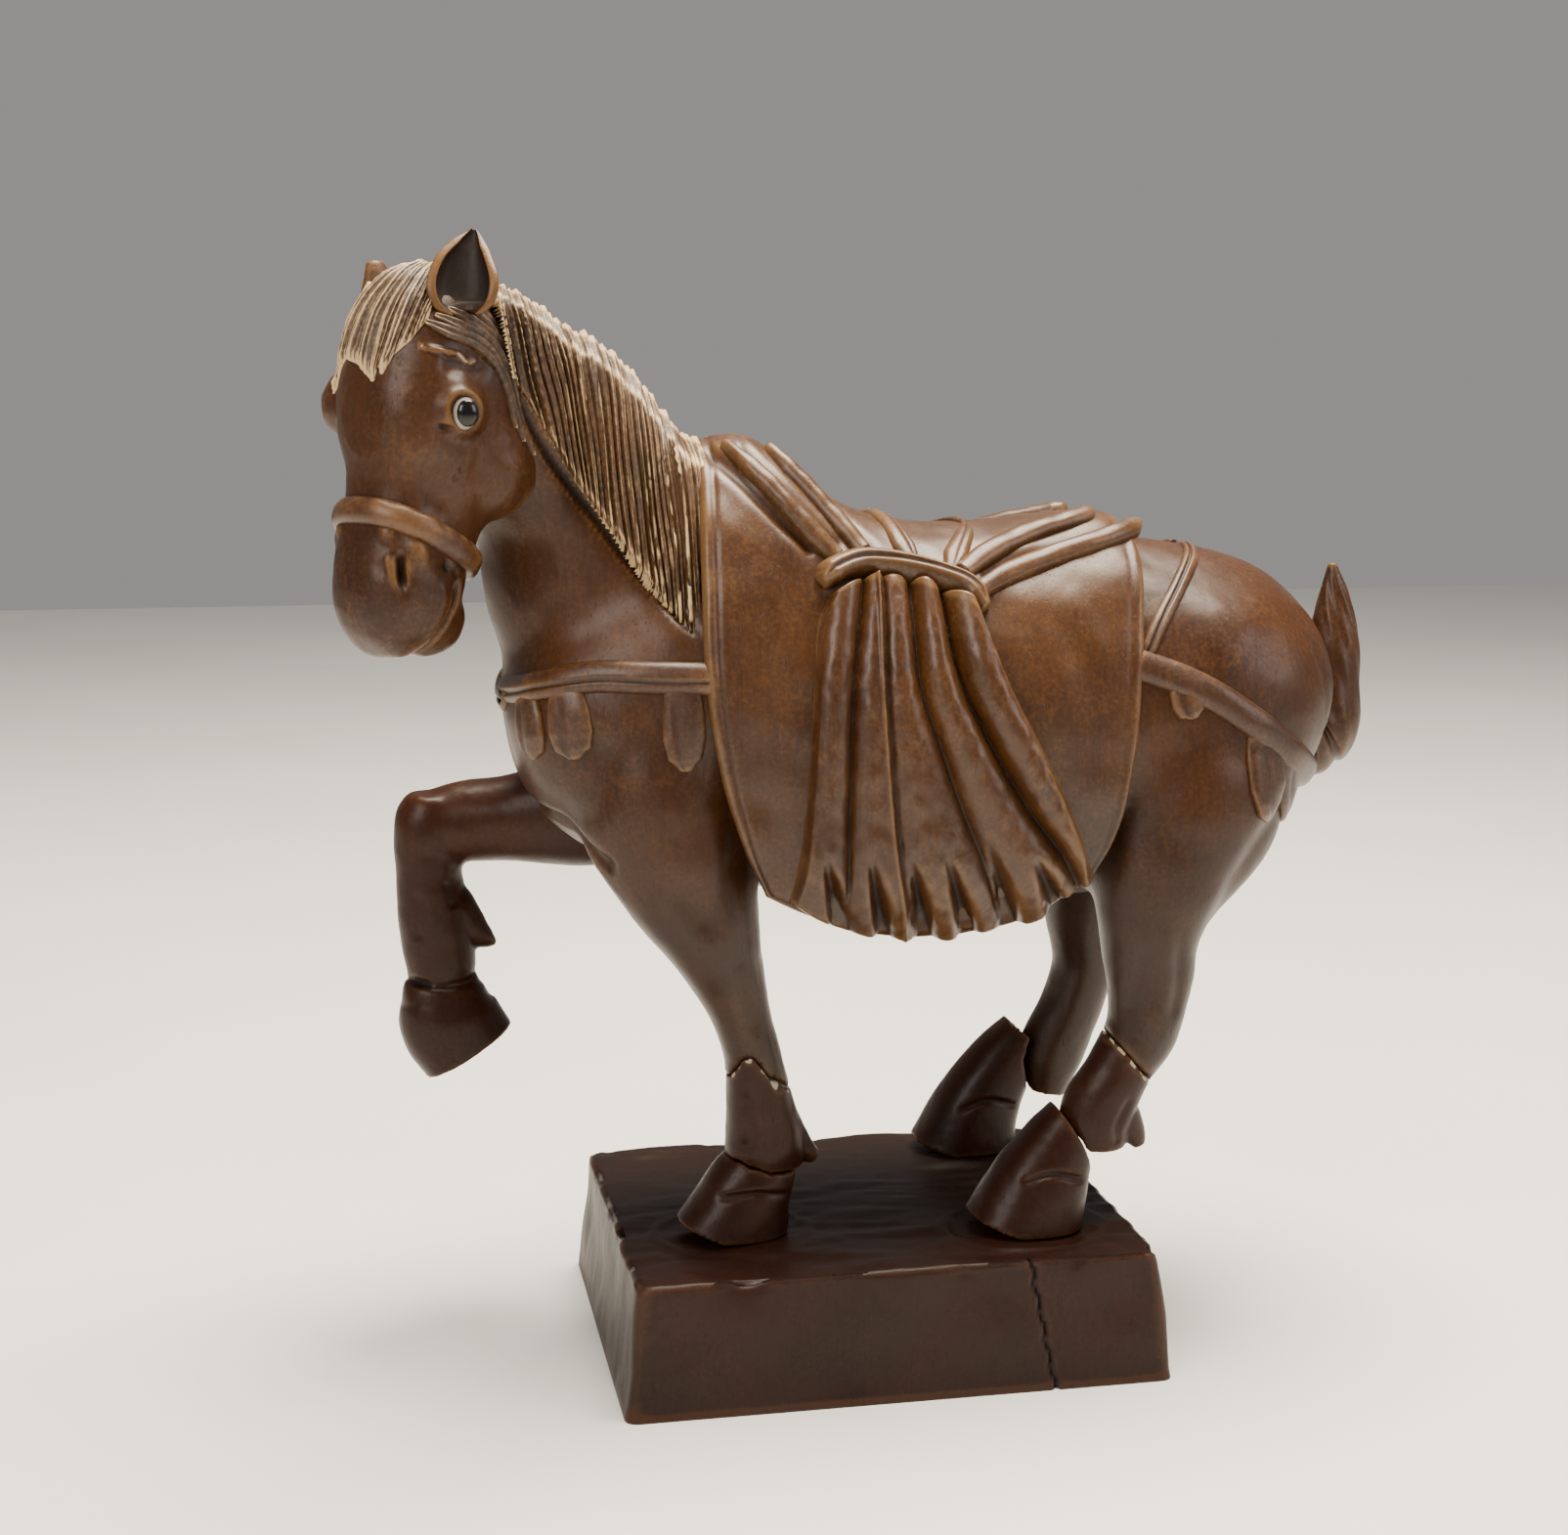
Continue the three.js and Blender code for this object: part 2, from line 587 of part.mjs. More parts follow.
// ---- Harness ----
const harness = (line, halfWidth, proud = STRAP_PROUD) => bodyForm(proud).intersect(band(line, halfWidth));
const behindCloth = slab([[-100, 0], [100, 0], [100, 210], [-100, 210]]);
const breastStrap = cutBy(
  harness([[-72, 119.2], [-50, 120.8], [-31.6, 120.8]], 2.4), bodyWithGap, clothSpace,
  slab([[-31.6, 100], [100, 100], [100, 140], [-31.6, 140]]), mane,
);
const crupperStrap = cutBy(
  harness([[42, 122.4], [57, 116.4], [68, 109.4], [79, 100.6], [92, 92]], 2.3, 1.7), bodyWithGap,
  clothSpace, tailForm, slab([[-90, 60], [43.6, 60], [43.6, 200], [-90, 200]]),
);
const hipStrap = cutBy(
  harness([[43, 120.8], [50.4, 131], [63, 146]], 1.7, 1.4), bodyWithGap, clothSpace,
  harness([[42, 122.4], [57, 116.4], [68, 109.4], [79, 100.6], [92, 92]], 2.3 + GAP, 1.7 + GAP),
  slab([[-90, 60], [44, 60], [44, 200], [-90, 200]]),
  slab([[40, 60], [100, 60], [100, 121.4], [40, 121.4]]),
);

const noseband = (() => {
  const ring = toSolid(
    new THREE.CylinderGeometry(40, 40, 3.8, 24)
      .rotateX(Math.PI / 2)
      .rotateY(NOSEBAND_TILT)
      .rotateZ(HEAD_TURN)
      .translate(-84.6, -21.6, 147.4),
  );
  return cutBy(union(skullForm(1.6), jaw(1.6)).intersect(ring), headWithGap, neckForm(GAP));
})();

// A hanging leaf ornament that follows the body, seen from the side.
function pendant(x, z, length, halfWidth, lean, side) {
  const along = new THREE.Vector2(Math.sin(lean), -Math.cos(lean));
  const across = new THREE.Vector2(along.y, -along.x);
  const at = (t, w) => [x + along.x * t * length + across.x * w, z + along.y * t * length + across.y * w];
  const leaf = [
    at(0, 0), at(0.25, halfWidth * 0.7), at(0.55, halfWidth), at(0.82, halfWidth * 0.7), at(1, 0),
    at(0.82, -halfWidth * 0.7), at(0.55, -halfWidth), at(0.25, -halfWidth * 0.7),
  ];
  return mainBody(
    bodyForm(1.1).intersect(slab(leaf)).intersect(
      sideOnly(side)
    ).subtract(bodyWithGap).subtract(clothSpace)
  );
}
const PENDANTS = [
  ["chest_pendant_front", -56, 117.2, 9, 2.6, 0.15, 1.6],
  ["chest_pendant_rear", -36.6, 117.6, 13, 3, 0.05, 1.6],
  ["rump_pendant_front", 53, 113.8, 12, 2.6, -0.1, 1.6],
  ["rump_pendant_rear", 70.4, 103.6, 12, 3, 0.15, 1.6],
];

// ---- Plinth: a slab with flared sides and one open drying crack ----
function plinthForm() {
  const { length, depth, height, flare, corner } = PLINTH;
  const ring = (grow) => {
    const halfX = length / 2 + grow;
    const halfY = depth / 2 + grow;
    const shape = new THREE.Shape();
    shape.moveTo(-halfX, -halfY);
    shape.lineTo(halfX - 1, -halfY);
    shape.quadraticCurveTo(halfX, -halfY, halfX, -halfY + 1);
    shape.quadraticCurveTo(halfX - 1, halfY / 3, halfX - corner - 1, halfY - corner);
    shape.quadraticCurveTo(halfX - corner - 2, halfY, halfX - 2 * corner, halfY);
    shape.lineTo(-halfX + 1, halfY - 1);
    return shape.getPoints(4);
  };
  const low = ring(flare);
  const top = ring(0);
  const geometry = new THREE.ExtrudeGeometry(new THREE.Shape(low), { depth: height, bevelEnabled: false });
  const position = geometry.attributes.position;
  for (let i = 0; i < position.count; i++) {
    if (position.getZ(i) < height / 2) continue;
    const x = position.getX(i);
    const y = position.getY(i);
    const match = low.findIndex((p) => Math.hypot(p.x - x, p.y - y) < 1e-3);
    position.setXY(i, top[match].x, top[match].y);
  }
  return toSolid(geometry);
}
const crack = slab(
  [[21.6, 30], [22.2, 30], [24.4, 12], [27.2, -1], [25.9, -1], [23.7, 12]], -50, -PLINTH.depth / 2 + 5,
);
const plinth = plinthForm().subtract(crack);

// ---- The group ----
const horse = new THREE.Group();
horse.name = "carved_horse";
const pieces = [
  ["plinth", plinth, MATERIAL.plinth],
  ["carved_body", carvedBody, MATERIAL.body],
  ["left_ear", leftEar, MATERIAL.body],
  ["raised_foreleg", raisedForeleg, MATERIAL.leg],
  ["near_fore_cannon", nearForeCannon, MATERIAL.leg],
  ["near_fore_hoof", nearForeHoofPiece, MATERIAL.leg],
  ["near_hind_cannon", nearHindCannon, MATERIAL.leg],
  ["near_hind_hoof", nearHindHoofPiece, MATERIAL.leg],
  ["off_hind_hoof", offHindHoofPiece, MATERIAL.leg],
  ["tail", tail, MATERIAL.body],
  ["left_eye_bead", leftEye.bead, MATERIAL.eyeWhite],
  ["left_eye_pupil", leftEye.pupil, MATERIAL.pupil],
  ["right_eye_bead", rightEye.bead, MATERIAL.eyeWhite],
  ["right_eye_pupil", rightEye.pupil, MATERIAL.pupil],
  ["mane", mane, MATERIAL.mane],
  ["forelock", forelock, MATERIAL.mane],
  ["noseband", noseband, MATERIAL.strap],
  ["breast_strap", breastStrap, MATERIAL.strap],
  ["crupper_strap", crupperStrap, MATERIAL.strap],
  ["hip_strap", hipStrap, MATERIAL.strap],
  ["saddle_cloth", saddleCloth, MATERIAL.cloth],
  ["pleated_fall_left", leftFall, MATERIAL.cloth],
  ["pleated_fall_right", rightFall, MATERIAL.cloth],
  ...rollsOn(-1, "left").map(([name, solid]) => [name, solid, MATERIAL.cloth]),
  ...rollsOn(1, "right").map(([name, solid]) => [name, solid, MATERIAL.cloth]),
];
for (const [name, outline] of LEAVES)
  for (const [side, word] of [[-1, "left"], [1, "right"]])
    pieces.push([`${name}_${word}`, tieLeaf(outline, side), MATERIAL.cloth]);
for (const [name, x, z, length, halfWidth, lean] of PENDANTS)
  for (const [side, word] of [[-1, "left"], [1, "right"]])
    pieces.push([`${name}_${word}`, pendant(x, z, length, halfWidth, lean, side), MATERIAL.strap]);
for (const [name, solid, material] of pieces) horse.add(toMesh(name, solid, material));

export default horse;
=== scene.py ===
import math

import bpy
import numpy as np
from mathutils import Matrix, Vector
from mathutils.bvhtree import BVHTree


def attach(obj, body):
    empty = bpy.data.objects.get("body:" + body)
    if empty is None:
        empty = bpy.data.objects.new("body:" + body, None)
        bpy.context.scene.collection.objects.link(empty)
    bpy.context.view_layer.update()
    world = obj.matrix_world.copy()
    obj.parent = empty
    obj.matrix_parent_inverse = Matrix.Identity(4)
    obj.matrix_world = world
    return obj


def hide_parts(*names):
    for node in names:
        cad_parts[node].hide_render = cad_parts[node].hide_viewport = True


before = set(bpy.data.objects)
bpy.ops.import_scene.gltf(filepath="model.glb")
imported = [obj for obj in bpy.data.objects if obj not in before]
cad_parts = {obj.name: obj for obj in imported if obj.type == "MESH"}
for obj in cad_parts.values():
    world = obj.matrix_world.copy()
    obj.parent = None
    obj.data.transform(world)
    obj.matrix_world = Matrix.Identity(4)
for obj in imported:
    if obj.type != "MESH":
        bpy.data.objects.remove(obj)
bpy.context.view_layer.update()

millimetre = 0.001
midline = 2.0


# shaping helpers; every length is in millimetres

def unit(v):
    # each vector divided by its own length
    v = np.asarray(v, float)
    return v / np.maximum(np.linalg.norm(v, axis=-1, keepdims=True), 1e-9)


def through(rows, t):
    # a smooth path through the rows: the Catmull-Rom cubic on each span, the ends reflected
    rows = np.asarray(rows, float)
    n = len(rows) - 1
    p = np.vstack([2 * rows[0] - rows[1], rows, 2 * rows[-1] - rows[-2]])
    s = np.clip(np.asarray(t, float), 0, 1) * n
    k = np.minimum(s.astype(int), n - 1)
    f = (s - k)[..., None]
    a, b, c, d = p[k], p[k + 1], p[k + 2], p[k + 3]
    bend, twist = 2 * a - 5 * b + 4 * c - d, 3 * b - a - 3 * c + d
    return 0.5 * (2 * b + (c - a) * f + bend * f ** 2 + twist * f ** 3)


def readAlong(rows, key, value, at):
    # one column of a smooth path read against another column, straight between close samples
    dense = through(rows, np.linspace(0, 1, 240))
    order = np.argsort(dense[:, key])
    return np.interp(at, dense[order, key], dense[order, value])


def ease(t):
    # nought to one with level ends: 3t^2 - 2t^3
    t = np.clip(t, 0, 1)
    return t * t * (3 - 2 * t)


def ripple(points, size, seed, count=26):
    # smooth noise: the mean of seeded cosine waves of about the given length, in all directions
    rng = np.random.default_rng(seed)
    way = unit(rng.normal(size=(count, 3)))
    turn = way * (2 * math.pi / (np.asarray(size, float) * rng.uniform(0.7, 1.5, (count, 1))))
    phase = rng.uniform(0, 2 * math.pi, count)
    total = np.zeros(points.shape[:-1])
    for k in range(count):
        total += np.cos(points @ turn[k] + phase[k])
    return total / math.sqrt(count / 2)


def gridNormals(grid):
    # the cross product of the two directions of a grid, made unit length
    return unit(np.cross(np.gradient(grid, axis=0), np.gradient(grid, axis=1)))


def quadsOf(rows, cols, wrap=False, first=0):
    # four-cornered faces of a rows by cols grid, joined round the columns if it wraps
    i = np.arange(rows - 1)[:, None]
    j = np.arange(cols if wrap else cols - 1)[None, :]
    k = (j + 1) % cols
    corners = np.broadcast_arrays(i * cols + j, i * cols + k, (i + 1) * cols + k, (i + 1) * cols + j)
    cells = np.stack(corners, -1)
    return cells.reshape(-1, 4) + first


def outward(solid):
    # turns the faces round if the signed volume, the sum of corner triple products, is negative
    verts, quads, tris = solid
    fans = np.vstack([quads[:, [0, 1, 2]], quads[:, [0, 2, 3]], tris])
    volume = np.einsum("ij,ij->i", verts[fans[:, 0]], np.cross(verts[fans[:, 1]], verts[fans[:, 2]])).sum()
    return (verts, quads[:, ::-1], tris[:, ::-1]) if volume < 0 else solid


noTris = np.zeros((0, 3), int)


def tube(rings):
    # a stack of closed rings, each end closed to its middle point
    rows, cols, _ = rings.shape
    ends = np.stack([rings[0].mean(0), rings[-1].mean(0)])
    j = np.arange(cols)
    k = (j + 1) % cols
    last = (rows - 1) * cols
    low = np.stack([np.full(cols, rows * cols), k, j], -1)
    high = np.stack([np.full(cols, rows * cols + 1), last + j, last + k], -1)
    verts = np.vstack([rings.reshape(-1, 3), ends])
    return outward((verts, quadsOf(rows, cols, True), np.vstack([low, high])))


def loop(rings):
    # a ring of rings, like a bent tube that closes on itself
    rows, cols, _ = rings.shape
    cells = quadsOf(rows, cols, True)
    j = np.arange(cols)
    seam = np.stack([(rows - 1) * cols + j, (rows - 1) * cols + (j + 1) % cols, (j + 1) % cols, j], -1)
    return outward((rings.reshape(-1, 3), np.vstack([cells, seam]), noTris))


def shell(top, under):
    # two sheets of the same grid, sewn together round their edge
    rows, cols, _ = top.shape
    n = rows * cols
    edge = np.concatenate([
        np.arange(cols), np.arange(1, rows) * cols + cols - 1,
        (rows - 1) * cols + np.arange(cols - 2, -1, -1), np.arange(rows - 2, 0, -1) * cols,
    ])
    nextEdge = np.roll(edge, -1)
    wall = np.stack([nextEdge, edge, edge + n, nextEdge + n], -1)
    quads = np.vstack([quadsOf(rows, cols), quadsOf(rows, cols, False, n)[:, ::-1], wall])
    return outward((np.vstack([top.reshape(-1, 3), under.reshape(-1, 3)]), quads, noTris))


def together(solids):
    # several solids in one list of corners and faces
    verts, quads, tris, first = [], [], [], 0
    for v, q, t in solids:
        verts.append(v)
        quads.append(q + first)
        tris.append(t + first)
        first += len(v)
    return np.vstack(verts), np.vstack(quads), np.vstack(tris)


def rod(stations, side=(0, 1, 0), around=56, along=90, power=2.0):
    # a limb: at each station, centre + side * width * cos + depth * sin, with a superellipse power
    s = through(stations, np.linspace(0, 1, along))
    tangent = unit(np.gradient(s[:, :3], axis=0))
    side = np.asarray(side, float)
    across = unit(side - tangent * (tangent @ side)[:, None])
    deep = np.cross(tangent, across)
    a = np.linspace(0, 2 * math.pi, around, endpoint=False)
    c = np.sign(np.cos(a)) * np.abs(np.cos(a)) ** (2 / power)
    d = np.sign(np.sin(a)) * np.abs(np.sin(a)) ** (2 / power)
    return (s[:, None, :3] + across[:, None] * c[None, :, None] * s[:, 4][:, None, None]
            + deep[:, None] * d[None, :, None] * s[:, 3][:, None, None])


def ball(centre, radii, yaw=0.0, rows=28, cols=40):
    # an ellipsoid: latitude and longitude times its three radii, turned about the upright
    v = np.linspace(0.02, math.pi - 0.02, rows)[:, None]
    a = np.linspace(0, 2 * math.pi, cols, endpoint=False)[None, :]
    x = np.sin(v) * np.cos(a) * radii[0]
    y = np.sin(v) * np.sin(a) * radii[1]
    z = np.cos(v) * radii[2] + 0 * a
    return np.stack([centre[0] + x * math.cos(yaw) - y * math.sin(yaw),
                     centre[1] + x * math.sin(yaw) + y * math.cos(yaw), centre[2] + z], -1)


def between(rings, above=None, below=None, fine=500):
    # each column of a limb resampled between the first ring past one break and the last before the next
    rows, cols, _ = rings.shape
    dense = through(rings.reshape(rows, -1), np.linspace(0, 1, fine)).reshape(fine, cols, 3)
    start = np.zeros(cols)
    end = np.full(cols, fine - 1.0)
    if above is not None:
        start = np.argmax(above(dense[..., 0], dense[..., 2]) < 0, axis=0).astype(float)
    if below is not None:
        past = below(dense[..., 0], dense[..., 2]) < 0
        end = np.where(past.any(0), np.argmax(past, axis=0), fine - 1).astype(float)
    at = start + (np.maximum(end, start + 6) - start) * np.linspace(0, 1, rows)[:, None]
    lower = np.clip(at.astype(int), 0, fine - 2)
    f = (at - lower)[..., None]
    j = np.arange(cols)[None, :]
    return dense[lower, j] * (1 - f) + dense[lower + 1, j] * f


def fuse(solids, voxel):
    # overlapping closed forms become one skin of even small squares
    verts, quads, tris = together([outward(s) for s in solids])
    obj = bpy.data.objects.new("fusing", meshOf("fusing", verts, quads, tris))
    bpy.context.scene.collection.objects.link(obj)
    mod = obj.modifiers.new("fuse", "REMESH")
    mod.mode = "VOXEL"
    mod.voxel_size = voxel * millimetre
    mod.adaptivity = 0
    done = obj.evaluated_get(bpy.context.evaluated_depsgraph_get()).data
    skin = np.zeros(len(done.vertices) * 3)
    done.vertices.foreach_get("co", skin)
    corner = np.zeros(len(done.loops), int)
    done.loops.foreach_get("vertex_index", corner)
    size = np.zeros(len(done.polygons), int)
    done.polygons.foreach_get("loop_total", size)
    begin = np.zeros(len(done.polygons), int)
    done.polygons.foreach_get("loop_start", begin)
    four, three = begin[size == 4], begin[size == 3]
    faces = corner[four[:, None] + np.arange(4)]
    small = corner[three[:, None] + np.arange(3)] if len(three) else noTris
    mesh = obj.data
    bpy.data.objects.remove(obj)
    bpy.data.meshes.remove(mesh)
    return skin.reshape(-1, 3) / millimetre, faces, small


def meshOf(name, verts, quads, tris):
    # corners and faces written into a mesh in one go, in metres
    mesh = bpy.data.meshes.new(name)
    corner = np.concatenate([quads.ravel(), tris.ravel()]).astype(np.int32)
    size = np.concatenate([np.full(len(quads), 4), np.full(len(tris), 3)])
    mesh.vertices.add(len(verts))
    mesh.vertices.foreach_set("co", (verts * millimetre).astype(np.float32).ravel())
    mesh.loops.add(len(corner))
    mesh.loops.foreach_set("vertex_index", corner)
    mesh.polygons.add(len(size))
    mesh.polygons.foreach_set("loop_start", np.concatenate([[0], np.cumsum(size)[:-1]]).astype(np.int32))
    mesh.update(calc_edges=True)
    mesh.validate()
    return mesh


def farFrom(points, line):
    # the least distance from each point to a line of short spans, and how far along it that is
    best = np.full(len(points), 1e9)
    where = np.zeros(len(points))
    for k in range(len(line) - 1):
        span = line[k + 1] - line[k]
        t = np.clip((points - line[k]) @ span / max(span @ span, 1e-9), 0, 1)
        d = np.linalg.norm(points - line[k] - t[:, None] * span, axis=1)
        closer = d < best
        best[closer] = d[closer]
        where[closer] = (k + t[closer]) / (len(line) - 1)
    return best, where


class Clay:
    # one skin that is worked with round tools and edges, by moving its corners along their normals

    def __init__(self, solid):
        self.verts, self.quads, self.tris = solid
        parts = [self.quads[:, [k, (k + 1) % 4]] for k in range(4)]
        parts += [self.tris[:, [k, (k + 1) % 3]] for k in range(3)]
        edges = np.unique(np.sort(np.vstack(parts), axis=1), axis=0)
        self.ends = np.concatenate([edges[:, 0], edges[:, 1]])
        self.mates = np.concatenate([edges[:, 1], edges[:, 0]])
        self.count = np.maximum(np.bincount(self.ends, minlength=len(self.verts)), 1)[:, None]

    def mean(self, values):
        # each corner takes the mean of its neighbours
        near = values[self.mates]
        sums = [np.bincount(self.ends, near[:, k], minlength=len(values)) for k in range(values.shape[1])]
        return np.stack(sums, -1) / self.count

    def relax(self, times, pull=0.6, push=-0.62):
        # smooths and then swells back by turns, so the form keeps its size
        for _ in range(times):
            self.verts = self.verts + pull * (self.mean(self.verts) - self.verts)
            self.verts = self.verts + push * (self.mean(self.verts) - self.verts)
        return self

    def soften(self, times, share):
        # plain smoothing, of which each corner takes its own share from nought to one
        kept = self.verts
        self.relax(times, 0.5, 0.0)
        self.verts = kept + (self.verts - kept) * share[:, None]

    def press(self, height):
        # each corner moves along its normal by its own height
        self.verts = self.verts + self.normals() * height[:, None]
        return self

    def normals(self):
        # the area-weighted normals of the faces summed at each corner
        v = self.verts
        face = np.cross(v[self.quads[:, 2]] - v[self.quads[:, 0]], v[self.quads[:, 3]] - v[self.quads[:, 1]])
        total = np.zeros_like(v)
        for k in range(4):
            for axis in range(3):
                total[:, axis] += np.bincount(self.quads[:, k], face[:, axis], minlength=len(v))
        if len(self.tris):
            face = np.cross(v[self.tris[:, 1]] - v[self.tris[:, 0]], v[self.tris[:, 2]] - v[self.tris[:, 0]])
            for k in range(3):
                for axis in range(3):
                    total[:, axis] += np.bincount(self.tris[:, k], face[:, axis], minlength=len(v))
        return unit(total)

    def relief(self):
        # the curvature at two scales: how far the skin stands off its smoothed self, over the
        # square of the smoothing length
        n = self.normals()
        edge = np.linalg.norm(self.verts[self.ends] - self.verts[self.mates], axis=1).mean()
        smooth, marks, done = self.verts, [], 0
        for reach in (0.75, 1.9):
            times = int(np.clip(round((reach / edge) ** 2), done + 1, 60))
            for _ in range(times - done):
                smooth = self.mean(smooth)
            done = times
            marks.append(2 * np.einsum("ij,ij->i", self.verts - smooth, n) / (edge ** 2 * times))
        return np.clip(0.55 * marks[0] + 0.9 * marks[1], -1, 1)

    def tool(self, lines, width, depth, space=None, taper=0.25, sharp=2.0, where=None):
        # along each line, depth * exp(-(distance / width) ^ sharp), fading over both ends
        at = self.verts if space is None else space
        total = np.zeros(len(at))
        for line in lines:
            line = through(line, np.linspace(0, 1, 4 * len(line)))
            near = np.all((at > line.min(0) - 3 * width) & (at < line.max(0) + 3 * width), axis=1)
            if not near.any():
                continue
            d, t = farFrom(at[near], line)
            fade = ease(np.minimum(t, 1 - t) / taper) if taper else 1.0
            total[near] += depth * np.exp(-(d / width) ** sharp) * fade
        return self.press(total if where is None else total * where)


def ribbon(path, up, halfWidth, rise, sink=1.2, across=22, relief=None, closed=False, power=2.2):
    # a raised band: centre + side * halfWidth * s + up * rise * (1 - |s|^p)^(1/p), its underside sunk
    path, up = np.asarray(path, float), unit(up)
    rows = len(path)
    if closed:
        tangent = unit(np.roll(path, -1, 0) - np.roll(path, 1, 0))
    else:
        tangent = unit(np.gradient(path, axis=0))
    side = unit(np.cross(up, tangent))
    halfWidth = np.broadcast_to(halfWidth, rows)[:, None]
    rise = np.broadcast_to(rise, rows)[:, None]
    a = np.linspace(0, math.pi, across)
    s = -np.cos(a)[None, :]
    u = np.linspace(0, 1, rows)[:, None]
    high = rise * np.maximum(1 - np.abs(s) ** power, 0) ** (1 / power)
    if relief is not None:
        high = high + relief(u, s) * np.sin(a)[None, :] ** 0.5
    low = -np.broadcast_to(sink, rows)[:, None] * np.sin(a[1:-1])[None, ::-1] ** 0.5
    s = np.concatenate([s + 0 * u, s[:, -2:0:-1] + 0 * u], 1)
    high = np.concatenate([high, low + 0 * u], 1)
    rings = path[:, None] + side[:, None] * (halfWidth * s)[..., None] + up[:, None] * high[..., None]
    return loop(rings) if closed else tube(rings)


def patch(left, right, top, bottom, u, v):
    # a Coons patch: the two ruled surfaces between opposite edges, less the one between the corners
    l, r = through(left, v), through(right, v)
    t, b = through(top, u), through(bottom, u)
    left, right = np.asarray(left, float), np.asarray(right, float)
    u, v = u[..., None], v[..., None]
    flat = (1 - u) * (1 - v) * left[0] + u * (1 - v) * right[0] + (1 - u) * v * left[-1] + u * v * right[-1]
    return (1 - u) * l + u * r + (1 - v) * t + v * b - flat


def unevenSeams(rng, count, jitter):
    # the seams between count strands over nought to one, each moved a little at random
    inner = (np.arange(1, count) + rng.uniform(-jitter, jitter, count - 1)) / count
    return np.concatenate([[-0.01], np.sort(inner), [1.01]])


def evenly(line, steps):
    # a smooth line resampled at equal distances
    dense = through(line, np.linspace(0, 1, 300))
    gone = np.concatenate([[0], np.cumsum(np.linalg.norm(np.diff(dense, axis=0), axis=1))])
    want = np.linspace(0, gone[-1], steps)
    return np.stack([np.interp(want, gone, dense[:, k]) for k in range(dense.shape[1])], -1)


# materials: stained and waxed wood, and glass beads

class Value:
    # a socket that takes part in sums, and adds a Math node for each one

    def __init__(self, shade, socket):
        self.shade, self.socket = shade, socket

    def worked(self, operation, a, b):
        return self.shade.node("ShaderNodeMath", {"operation": operation}, {0: a, 1: b})

    def __add__(self, other):
        return self.worked("ADD", self, other)

    def __sub__(self, other):
        return self.worked("SUBTRACT", self, other)

    def __rsub__(self, other):
        return self.worked("SUBTRACT", other, self)

    def __mul__(self, other):
        return self.worked("MULTIPLY", self, other)

    __radd__ = __add__
    __rmul__ = __mul__

    def between(self, low, high):
        # nought below low, one above high, smooth in between
        smooth = {"interpolation_type": "SMOOTHSTEP"}
        return self.shade.node("ShaderNodeMapRange", smooth, {0: self, 1: low, 2: high})


class Shade:
    # the node tree of one material

    def __init__(self, name):
        self.material = bpy.data.materials.new(name)
        self.material.use_nodes = True
        self.tree = self.material.node_tree
        self.tree.nodes.clear()

    def node(self, kind, settings=None, inputs=None, output=0):
        # one node: its settings first, then the links or values of its sockets
        made = self.tree.nodes.new(kind)
        for key, value in (settings or {}).items():
            setattr(made, key, value)
        for key, value in (inputs or {}).items():
            if isinstance(value, Value):
                self.tree.links.new(value.socket, made.inputs[key])
            else:
                made.inputs[key].default_value = value
        return Value(self, made.outputs[output] if len(made.outputs) else None)

    def mix(self, factor, a, b):
        # two colours mixed by a factor
        a, b = [(*c, 1.0) if isinstance(c, tuple) else c for c in (a, b)]
        return self.node("ShaderNodeMix", {"data_type": "RGBA"}, {0: factor, 6: a, 7: b}, 2)

    def place(self, stretch=(1, 1, 1)):
        # the piece's own coordinates in metres, stretched
        spot = self.node("ShaderNodeTexCoord", output=3)
        return self.node("ShaderNodeMapping", {}, {0: spot, 3: stretch})

    def noise(self, where, scale, detail=3.0, rough=0.55):
        # cloudy noise between nought and one
        inputs = {"Vector": where, "Scale": scale, "Detail": detail, "Roughness": rough}
        return self.node("ShaderNodeTexNoise", {}, inputs)

    def finish(self, inputs, bump=None):
        # the surface itself, with a fine bump if one is given
        if bump is not None:
            raised = dict(zip(("Height", "Strength", "Distance"), bump))
            inputs["Normal"] = self.node("ShaderNodeBump", {}, raised)
        skin = self.node("ShaderNodeBsdfPrincipled", {}, inputs)
        self.node("ShaderNodeOutputMaterial", {}, {0: skin})
        return self.material


woodLook = {
    "grainStretch": (1500, 1500, 110), "poreStretch": (2600, 2600, 420),
    "coat": 0.05, "coatRoughness": 0.22, "bump": 0.2,
}


